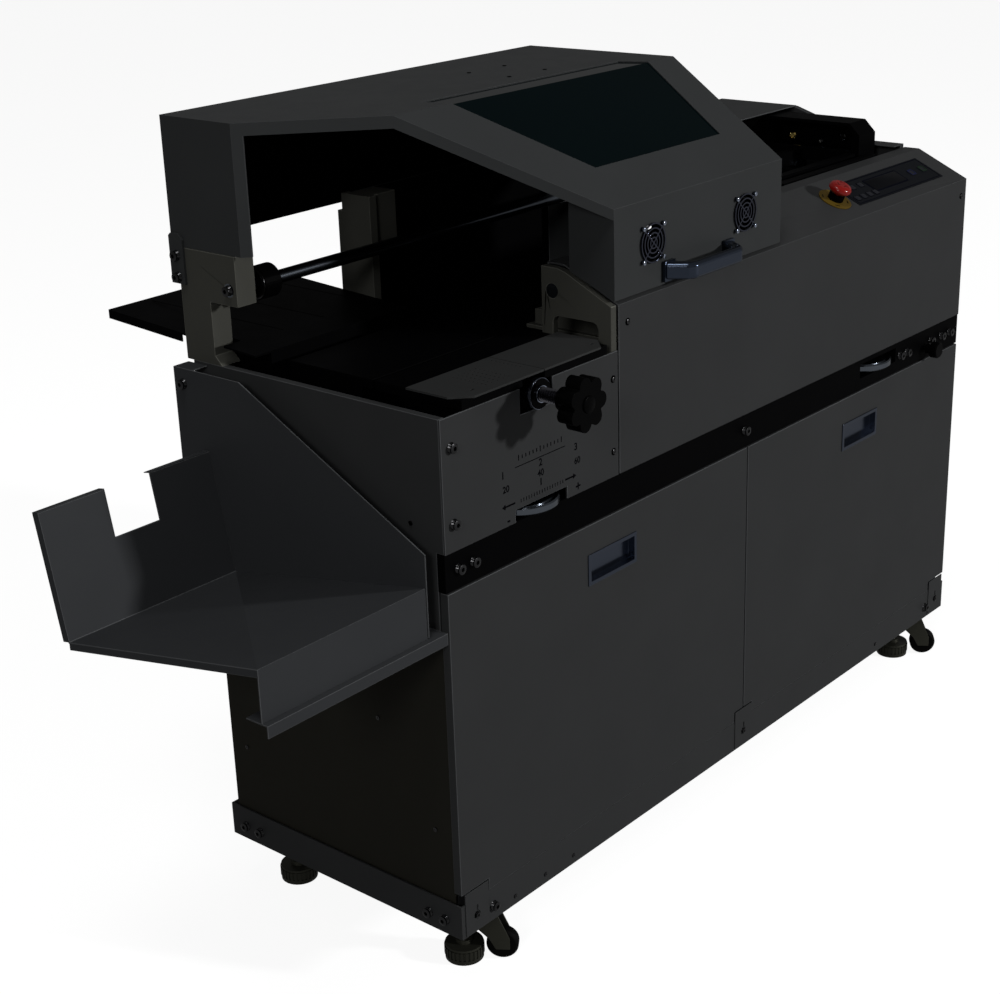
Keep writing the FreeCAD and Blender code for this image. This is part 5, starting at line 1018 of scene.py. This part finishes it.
@dataclass
class StopButton(SlopeFitting):
    """Black neck, turned arrows and plate marks of the emergency stop.

    A ring of the neck is given by its inner radius, its height and its place over the panel.
    """

    x: float = 1088.0
    along: float = 57.0
    neck_radius: float = 0.0142
    neck: tuple[tuple[float, float, float], ...] = (
        (0.0131, 0.0100, 2.1), (0.0078, 0.0006, 12.05))
    head_top: float = 32.02
    plate_top: float = 2.0
    arrows: int = 3
    arrow_reach: float = 0.0075
    marks: int = 4
    mark_reach: float = 0.0235

    def build(self) -> None:
        """Sleeve the neck, print the head and mark the plate."""
        rings = [self.lay(self.bench.annulus(self.neck_radius, inner, tall, sides=40),
                          self.x, self.along, above)
                 for inner, tall, above in self.neck]
        self.bench.finish(rings, "stop_neck", "black_moulding", "cabinet", "black_plastic")
        arrows = []
        for index in range(self.arrows):
            arrow = self._arrow(length=0.010, width=0.004, shaft=0.25)
            angle = math.radians(120 * index + 30)
            arrow.data.transform(Matrix.Rotation(angle + math.pi / 2, 4, "Z"))
            arrow.data.transform(Matrix.Translation(
                (math.cos(angle) * self.arrow_reach, math.sin(angle) * self.arrow_reach, 0)))
            arrows.append(self.lay(arrow, self.x, self.along, self.head_top))
        self.bench.finish(arrows, "stop_arrows", "signal_red_print", "stop_head", "red_plastic")
        marks = []
        for index in range(self.marks):
            mark = self.bench.slab((0.0090, 0.0022, PRINT_HEIGHT), round_by=0.00006, segments=1)
            mark.data.transform(Matrix.Translation((0, self.mark_reach, 0)))
            mark.data.transform(Matrix.Rotation(math.radians(90 * index + 45), 4, "Z"))
            marks.append(self.lay(mark, self.x, self.along, self.plate_top))
        self.bench.finish(marks, "plate_marks", "print_dark", "cabinet", "yellow_plastic")

    def _arrow(self, length: float, width: float, shaft: float) -> bpy.types.Object:
        """A flat double-headed arrow on the XY plane.

        Args:
            length: from tip to tip, in metres.
            width: across its heads, in metres.
            shaft: the shaft's share of that width.

        Returns:
            The arrow.
        """
        obj = self.bench.start("cube", size=1.0)
        bpy.ops.transform.resize(value=(length * 0.6, width * shaft, PRINT_HEIGHT))
        for side in (1.0, -1.0):
            self.bench.pick(obj, lambda face, s=side: face.normal.x * s > FACES_AXIS)
            self.bench.raised(0)
            bpy.ops.transform.resize(value=(1.0, 1.0 / shaft, 1.0))
            bpy.ops.mesh.extrude_region_move(
                TRANSFORM_OT_translate={"value": (side * length * 0.2, 0, 0)})
            bpy.ops.transform.resize(value=(1.0, 0.02, 1.0))
        return self.bench.leave(obj)


@dataclass
class CoverFittings(Fitting):
    """Guard screws and plugs on the hinged cover."""

    fans: tuple[float, float] = (477.0, 723.0)
    fan_z: float = 954.0
    guard_y: float = -3.6
    pitch: float = 25.0
    plugs: tuple[tuple[float, float], ...] = ((524, 389), (612, 390), (522, 304), (610, 304.5))
    top_z: float = 1168.0

    def build(self) -> None:
        """Set the screws of the fan guards and the plugs in the top."""
        places = [(x + sx * self.pitch, self.guard_y, self.fan_z + sz * self.pitch)
                  for x in self.fans for sx in (-1, 1) for sz in (-1, 1)]
        self.screws("guard_screws", "cover", seats(places, Facing.FRONT),
                    Screw(radius=0.0036, height=0.0022, drive=Drive.CROSS, finish="chrome"))
        plugs = [self.set(self.bench.disc(radius=0.0034, height=0.0008), x, y, self.top_z)
                 for x, y in self.plugs]
        self.bench.finish(plugs, "cover_plugs", "seam_and_shade_black", "cover", "black_plastic")


@dataclass
class SpindleFittings(Fitting):
    """Thread, collar sleeve, washer and end cap of the nip spindle.

    A ring is given by its outer and inner radius, its y and its height.
    """

    x: float = 197.0
    z: float = 797.0
    thread_front: float = -50.0
    core: float = 0.0086
    crest: float = 0.0020
    pitch: float = 4.0
    turns: int = 9
    rings: tuple[tuple[float, float, float, float], ...] = (
        (0.0226, 0.0221, -1.4, 0.0100), (0.0125, 0.0109, -12.1, 0.0030))
    cap_y: float = -96.0

    def build(self) -> None:
        """Wind the thread, and set the rings and the cap."""
        bench = self.bench
        bench.finish([self._front(self._thread(), self.thread_front + self.pitch * self.turns)],
                     "spindle_thread", "black_thread", "nip_knob", "chrome")
        rings = [self._front(bench.annulus(outer, inner, tall), y)
                 for outer, inner, y, tall in self.rings]
        bench.finish(rings, "spindle_bearings", "chrome", "nip_knob", "chrome")
        cap = bench.disc(radius=0.0125, height=0.0022, sides=40, round_by=0.0008)
        bench.finish([self._front(cap, self.cap_y)], "knob_cap", "black_moulding", "nip_knob",
                     "black_plastic")

    def _front(self, obj: bpy.types.Object, y: float) -> bpy.types.Object:
        """Set a piece on the spindle's axis at that y, facing the front."""
        return self.set(obj, self.x, y, self.z, Facing.FRONT)

    def _thread(self) -> bpy.types.Object:
        """One screw thread, wound from a three-sided section.

        Returns:
            The thread, its front end up.
        """
        obj = self.bench.start("circle", vertices=3, radius=self.crest)
        for axis in "ZX":
            bpy.ops.transform.rotate(value=math.pi / 2, orient_axis=axis,
                                     center_override=(0, 0, 0))
        bpy.ops.transform.translate(value=(self.core, 0, 0))
        bpy.ops.object.mode_set(mode="OBJECT")
        self.bench.apply(obj, "SCREW", axis="Z", screw_offset=self.pitch / 1000,
                         iterations=self.turns, steps=24, render_steps=24,
                         use_merge_vertices=False)
        bpy.ops.object.mode_set(mode="EDIT")
        self.bench.pick(obj, lambda edge: edge.is_boundary, edges=True)
        bpy.ops.mesh.edge_face_add()
        return self.bench.leave(obj, 25.0)


@dataclass
class RodFittings(Fitting):
    """Ribbed sleeve on the collar of the upper guide rod."""

    y: float = 398.0
    z: float = 928.0
    left: float = 49.6
    right: float = 80.4

    def build(self) -> None:
        """Set the sleeve and its end ring."""
        end = (self.left, self.y, self.z)
        sleeve = self.bench.ribbed(radius=0.0252, height=(self.right - self.left) / 1000, ribs=22,
                                   depth=0.0008)
        self.bench.finish([self.set(sleeve, *end, Facing.RIGHT)], "collar_sleeve",
                          "black_moulding", "cabinet", "black_plastic")
        ring = self.bench.annulus(outer=0.0236, inner=0.0190, height=0.0012)
        self.bench.finish([self.set(ring, *end, Facing.LEFT)], "collar_ring", "bolt_steel",
                          "cabinet", "zinc")


@dataclass
class HoodFittings(Fitting):
    """Bar, knobs and comb inside the open side of the clamp's drive hood."""

    wall: float = 1427.0
    bar_x: float = 1396.0
    bar_z: float = 920.0
    bar_front: float = 189.0
    bar_rear: float = 369.0
    knobs: tuple[tuple[float, float, float, str], ...] = (
        (332.0, 942.0, 7.5, "brass_knob"), (269.0, 936.0, 4.0, "bright_steel"),
        (222.0, 948.0, 7.0, "bolt_steel"))
    stem: float = 0.018
    knob_steps: tuple[tuple[float, float], ...] = (
        (2.22, 0.0), (1.0, 0.008), (0.72, 0.0016), (0.8, -0.0012))
    teeth: int = 9
    comb_y: float = 272.0
    comb_z: float = 905.0
    comb_pitch: float = 5.0

    def build(self) -> None:
        """Set the bar, the knobs and the comb."""
        bench = self.bench
        bar = bench.disc(radius=0.0065, height=(self.bar_rear - self.bar_front) / 1000,
                         round_by=0.0010)
        self.set(bar, self.bar_x, self.bar_front, self.bar_z, Facing.BACK)
        bench.finish([bar], "hood_bar", "chrome", "carriage", "chrome")
        for index, (y, z, radius, finish) in enumerate(self.knobs):
            knob = self.set(self._knob(radius / 1000), self.wall, y, z, Facing.LEFT)
            bench.finish([knob], f"hood_knob_{index}", finish, "carriage", "chrome")
        teeth = [self.set(bench.slab((0.0016, 0.016, 0.014), round_by=0.0003, segments=1),
                          self.wall, self.comb_y + index * self.comb_pitch, self.comb_z,
                          Facing.LEFT)
                 for index in range(self.teeth)]
        bench.finish(teeth, "hood_comb", "bolt_steel", "carriage", "zinc")

    def _knob(self, radius: float) -> bpy.types.Object:
        """A turned knob on its stem.

        Args:
            radius: the knob's radius in metres.

        Returns:
            The knob, its stem's end at Z 0.
        """
        obj = self.bench.drum(radius * 0.45, self.stem, 28)
        self.bench.pick(obj, lambda face: face.normal.z > FACES_AXIS)
        for width, step in self.knob_steps:
            self.bench.raised(step)
            bpy.ops.transform.resize(value=(width, width, 1.0))
        return self.bench.leave(obj, 30.0)


@dataclass
class TrayFlanges(Fitting):
    """Return flanges along the outer and upper edges of the tray's fence."""

    outer: float = -338.0
    inner: float = -30.0
    notch: tuple[float, float] = (-224.0, -144.0)
    foot_y: float = 402.0
    height: float = 187.0
    rise: float = 0.9825
    lean: float = 0.1864
    deep: float = 13.0
    sheet: float = 1.2
    clear: float = 0.0003

    def build(self) -> None:
        """Fold the flanges back from the fence."""
        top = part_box("delivery_tray")[1][2]
        foot = self.bench.spot(self.outer, self.foot_y, 0)
        foot.z = top - self.height * self.rise / 1000
        turn = Matrix(((1, 0, 0), (0, self.rise, self.lean), (0, -self.lean, self.rise)))
        strips = [(0.0, self.sheet, 0.0, self.height)]
        strips += [(left - self.outer, right - self.outer, self.height, self.sheet)
                   for left, right in ((self.outer, self.notch[0]), (self.notch[1], self.inner))]
        flanges = []
        for left, right, low, tall in strips:
            size = ((right - left) / 1000, self.deep / 1000, tall / 1000)
            strip = self.bench.slab(size, round_by=0.0003, segments=1)
            strip.data.transform(Matrix.Translation(
                ((left + right) / 2000, self.deep / 2000 + self.clear, low / 1000)))
            strip.data.transform(Matrix.Translation(foot) @ turn.to_4x4())
            flanges.append(strip)
        self.bench.finish(flanges, "fence_flanges", "tray_coat", "cabinet", "charcoal_paint")


@dataclass
class WheelFaces(Fitting):
    """Turned face plates on the two handwheels."""

    web_top: float = 0.008
    thick: float = 0.0030
    outer: float = 0.0502
    inner: float = 0.0168

    def build(self) -> None:
        """Lay a plate on each wheel's web."""
        for node, body in (("thickness_handwheel", "thickness_wheel"),
                           ("glue_handwheel", "glue_wheel")):
            low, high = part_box(node)
            plate = self.bench.annulus(self.outer, self.inner, self.thick, sides=64)
            self.bench.put(plate, Vector(((low[0] + high[0]) / 2, (low[1] + high[1]) / 2,
                                          low[2] + self.web_top)))
            self.bench.finish([plate], f"{body}_face", "rod_steel", body, "chrome")


@dataclass
class TableSeams(Fitting):
    """Dark joints between the plates of the feed table."""

    seams: tuple[float, ...] = (77.0, 160.0, 265.0)
    width: float = 0.0024
    reach: float = 0.9

    def build(self) -> None:
        """Lay thin dark strips across the table's top."""
        low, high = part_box("cover_feed_table")
        strips = []
        for x in self.seams:
            size = (self.width, (high[1] - low[1]) * self.reach, 0.0003)
            centre = Vector((self.bench.spot(x, 0, 0).x, (low[1] + high[1]) / 2, high[2]))
            strip = self.bench.slab(size, round_by=0.00008, segments=1)
            strips.append(self.bench.put(strip, centre))
        self.bench.finish(strips, "table_seams", "seam_and_shade_black", "cabinet", "dark_paint")


@dataclass
class CasterFittings(Fitting):
    """Ribbed rings on the levelling feet."""

    feet: tuple[Point, ...] = ((75, 67, -86), (1405, 67, -86), (75, 433, -86), (1405, 433, -86))
    radius: float = 0.0312
    height: float = 0.014
    ribs: int = 28
    groove: float = 0.0012

    def build(self) -> None:
        """Set a ring on each foot."""
        rings = [self.set(self.bench.ribbed(self.radius, self.height, self.ribs,
                                            self.groove), *foot)
                 for foot in self.feet]
        self.bench.finish(rings, "foot_rings", "caster_zinc", "cabinet", "zinc")


@dataclass
class Studio:
    """Camera, lights, floor and world.

    A lamp is given by its name, the way to it from the aim, its distance, size and level. A glow
    is the strength for every ray, and what camera, reflected and transmitted rays add to it.
    """

    focal_px: float = 1830.0
    image_px: float = 1000.0
    sensor: float = 36.0
    azimuth: float = -49.03
    elevation: float = 21.0
    roll: float = 1.92
    eye: Point = (-1676.4, -1557.1, 1577.1)
    aim: Point = (0.0, 0.0, 0.9)
    lamps: tuple[tuple[str, Point, float, float, float], ...] = (
        ("key", (0.37, -0.90, 0.25), 9.0, 0.60, 0.55),
        ("overhead", (-0.30, -0.15, 0.94), 6.0, 1.8, 0.24),
        ("left", (-0.85, -0.38, 0.38), 7.0, 1.4, 0.16))
    floor_grey: float = 0.30
    floor_glow: tuple[float, ...] = (0.0, 0.91, 0.10, 0.91)
    world_glow: tuple[float, ...] = (0.06, 0.94, 0.06, 0.94)

    def build(self) -> None:
        """Set up the studio."""
        self._camera()
        self._lights()
        self._floor()
        self._world()

    def _camera(self) -> None:
        """Place the camera of the photograph."""
        data = bpy.data.cameras.new("camera")
        data.sensor_width = self.sensor
        data.lens = self.focal_px * self.sensor / self.image_px
        data.clip_end = 60.0
        camera = bpy.data.objects.new("camera", data)
        bpy.context.scene.collection.objects.link(camera)
        azimuth, elevation = math.radians(self.azimuth), math.radians(self.elevation)
        forward = Vector((-math.sin(azimuth) * math.cos(elevation),
                          math.cos(azimuth) * math.cos(elevation), -math.sin(elevation)))
        right = Vector((math.cos(azimuth), math.sin(azimuth), 0))
        down = forward.cross(right)
        roll = math.radians(self.roll)
        across = right * math.cos(roll) + down * math.sin(roll)
        below = down * math.cos(roll) - right * math.sin(roll)
        turn = Matrix((across, -below, -forward)).transposed().to_4x4()
        camera.matrix_world = Matrix.Translation(Bench.spot(*self.eye)) @ turn
        bpy.context.scene.camera = camera

    def _lights(self) -> None:
        """Crisp main light from the front right, a wide one overhead, a weak one from the left."""
        aim = Vector(self.aim)
        for name, look, reach, size, level in self.lamps:
            data = bpy.data.lights.new(name, "AREA")
            data.size = size
            data.energy = (math.pi * reach) ** 2 * level
            lamp = bpy.data.objects.new(name, data)
            bpy.context.scene.collection.objects.link(lamp)
            place = aim + Vector(look).normalized() * reach
            lamp.matrix_world = (Matrix.Translation(place)
                                 @ (aim - place).to_track_quat("-Z", "Y").to_matrix().to_4x4())

    def _floor(self) -> None:
        """A wide white floor that keeps the machine's shadow."""
        bpy.ops.mesh.primitive_plane_add(size=60.0, location=(0, 0, 0))
        floor = bpy.context.object
        floor.name = "floor"
        material = bpy.data.materials.new("floor_white")
        material.use_nodes = True
        tree = material.node_tree
        tree.nodes.clear()
        out = tree.nodes.new("ShaderNodeOutputMaterial")
        lit = tree.nodes.new("ShaderNodeBsdfDiffuse")
        lit.inputs["Color"].default_value = (*(self.floor_grey,) * 3, 1)
        glow = tree.nodes.new("ShaderNodeEmission")
        tree.links.new(self._seen(tree, *self.floor_glow), glow.inputs["Strength"])
        both = tree.nodes.new("ShaderNodeAddShader")
        tree.links.new(lit.outputs[0], both.inputs[0])
        tree.links.new(glow.outputs[0], both.inputs[1])
        tree.links.new(both.outputs[0], out.inputs["Surface"])
        floor.data.materials.append(material)

    @staticmethod
    def _seen(tree: bpy.types.NodeTree, plain: float, *shares: float) -> bpy.types.NodeSocket:
        """A strength that depends on the kind of ray that looks.

        Args:
            tree: node tree to add to.
            plain: strength for every ray.
            *shares: what camera, reflected and transmitted rays add.

        Returns:
            The strength's output.
        """
        path = tree.nodes.new("ShaderNodeLightPath")
        total = None
        for ray, share in zip(("Is Camera Ray", "Is Glossy Ray", "Is Transmission Ray"), shares):
            node = tree.nodes.new("ShaderNodeMath")
            node.operation = "MULTIPLY_ADD"
            tree.links.new(path.outputs[ray], node.inputs[0])
            node.inputs[1].default_value = share
            node.inputs[2].default_value = plain
            if total is not None:
                tree.links.new(total, node.inputs[2])
            total = node.outputs[0]
        return total

    def _world(self) -> None:
        """White seen from the camera and in reflections, and a plain light level otherwise."""
        world = bpy.data.worlds.new("studio")
        world.use_nodes = True
        tree = world.node_tree
        background = tree.nodes["Background"]
        background.inputs["Color"].default_value = (1, 1, 1, 1)
        tree.links.new(self._seen(tree, *self.world_glow), background.inputs["Strength"])
        bpy.context.scene.world = world


@dataclass
class BuiltPieces(Fitting):
    """Finishes of the pieces that the frame already holds."""

    nodes: dict[str, bpy.types.Object]
    finishes: dict[str, str] = field(default_factory=lambda: by_name((
        ("charcoal_coat", "cabinet_frame rear_panel left_side_plate right_side_plate"
                          " small_front_panel main_front_panel left_door right_door"),
        ("brown_grey_coat", "lower_end_panels"),
        ("black_coat", "front_band machine_bed cover_feed_table nip_front_jaw nip_rear_jaw"
                       " cutter_motor carriage_frame clamp_jaw"),
        ("cover_coat", "rear_deck cover_shell hinge_brackets"),
        ("tray_coat", "chute_plate delivery_tray tray_ledge"),
        ("casting_enamel", "rear_post rear_bracket mid_casting glue_tank"),
        ("rod_steel", "guide_rods thickness_handwheel glue_handwheel"),
        ("tinted_pane", "cover_window"),
        ("black_moulding", "fan_frames left_fan_impeller right_fan_impeller star_knob lock_knob"),
        ("guard_chrome", "fan_guards"), ("brushed_handle", "pull_handle"),
        ("pull_chrome", "left_door_pull right_door_pull"), ("table_steel", "nip_table"),
        ("zinc_plate", "handwheel_brackets"), ("membrane_film", "control_membrane"),
        ("key_grey", "blue_key green_key"), ("warning_yellow", "estop_base"),
        ("signal_red", "estop_button"), ("tool_steel", "milling_cutter glue_roller"),
        ("chrome", "clamp_screw"), ("caster_zinc", "caster_mounts"),
        ("bolt_steel", "frame_bolts"),
    )))
    # Each painted finish with the paler coat of its bevels: painted highlight along folds, with
    # edge wear
    edges: dict[str, str] = field(default_factory=lambda: by_name((
        ("coat_edge_highlight_and_wear", "charcoal_coat cover_coat tray_coat"), ("enamel_edge_highlight_and_wear", "casting_enamel"),
    )))
    edge_width: float = 0.0009
    fold: float = 40.0
    rounded: dict[str, float] = field(default_factory=lambda: by_name((
        (0.0026, "star_knob"), (0.0024, "estop_button"), (0.0012, "lock_knob"),
        (0.0010, "cutter_motor"), (0.0008, "carriage_frame clamp_jaw frame_bolts"),
        (0.0006, "left_door_pull right_door_pull nip_front_jaw nip_rear_jaw"),
        (0.0005, "estop_base caster_mounts"), (0.0004, "fan_frames"),
        (0.0003, "fan_guards milling_cutter"),
    )))
    caster_width: float = 0.0006
    # Inner walls under the hood coated black as painted shade, by depth before the rear end
    shade_walls: dict[str, float] = field(default_factory=lambda: {
        "cover_shell": 0.012, "rear_deck": 0.150,
    })

    def build(self) -> None:
        """Give every built piece its finish and shading."""
        for name, obj in self.nodes.items():
            finish = self.finishes.get(name)
            if finish is None:
                finish = "rubber_tyre" if name.endswith("_wheel") else "caster_zinc"
            obj.data.materials.clear()
            obj.data.materials.append(self.bench.finishes.get(finish))
            caster = name.endswith(("_fork", "_wheel"))
            width = self.rounded.get(name, self.caster_width if caster else 0.0)
            if finish in self.edges:
                self._soften(obj, self.edge_width, self.bench.finishes.get(self.edges[finish]))
            elif width:
                self._soften(obj, width)
            if name in self.shade_walls:
                self._paint_shade(obj, self.shade_walls[name], self.bench.finishes.get("black_coat"))
            log.info("finish %s on %s", finish, name)

    @staticmethod
    def _paint_shade(obj: bpy.types.Object, depth: float, finish: bpy.types.Material) -> None:
        """Paint a wall's inner face black as painted shade, for the shade under the hood.

        Args:
            obj: the piece with the wall.
            depth: how far before the piece's rear end such faces still count.
            finish: the black coat laid on as painted shade.
        """
        obj.data.materials.append(finish)
        slot = len(obj.data.materials) - 1
        place, turn = obj.matrix_world, obj.matrix_world.to_3x3()
        rear = max((place @ vertex.co).y for vertex in obj.data.vertices)
        for face in obj.data.polygons:
            inward = (turn @ face.normal).y < -FACES_AXIS
            if inward and (place @ face.center).y > rear - depth:
                face.material_index = slot

    def _soften(self, obj: bpy.types.Object, width: float,
                edge: bpy.types.Material | None = None) -> None:
        """Round a piece's edges by a hair; on painted sheet a paler coat: painted highlight and
        wear.

        Args:
            obj: the built piece.
            width: width of the rounding in metres.
            edge: paler finish of its edges (painted highlight and wear), or None for the piece's
                own.
        """
        weld = obj.modifiers.new("weld", "WELD")
        weld.merge_threshold = 0.00001
        bevel = obj.modifiers.new("edges", "BEVEL")
        bevel.width = width
        bevel.segments = 2
        bevel.limit_method = "ANGLE"
        bevel.angle_limit = math.radians(self.fold)
        # The bevel faces take the paler coat: painted highlight along the folds, with edge wear
        if edge is not None:
            obj.data.materials.append(edge)
            bevel.material = 1


def fit_all(frame: dict[str, object]) -> None:
    """Build every sub-assembly in order.
    """
    bench = Bench(Finishes())
    Studio().build()
    BuiltPieces(bench, frame["nodes"]).build()
    for group in (PanelFittings, ThicknessScale, ControlPanel, StopButton, CoverFittings,
                  SpindleFittings, RodFittings, HoodFittings, TrayFlanges, WheelFaces,
                  TableSeams, CasterFittings):
        group(bench).build()


def main() -> None:
    """Load the frame, build the looks and set the view transform."""
    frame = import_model()
    fit_all(frame)
    bpy.context.scene.view_settings.view_transform = "Standard"
    bpy.context.view_layer.update()


if __name__ == "__main__":
    main()
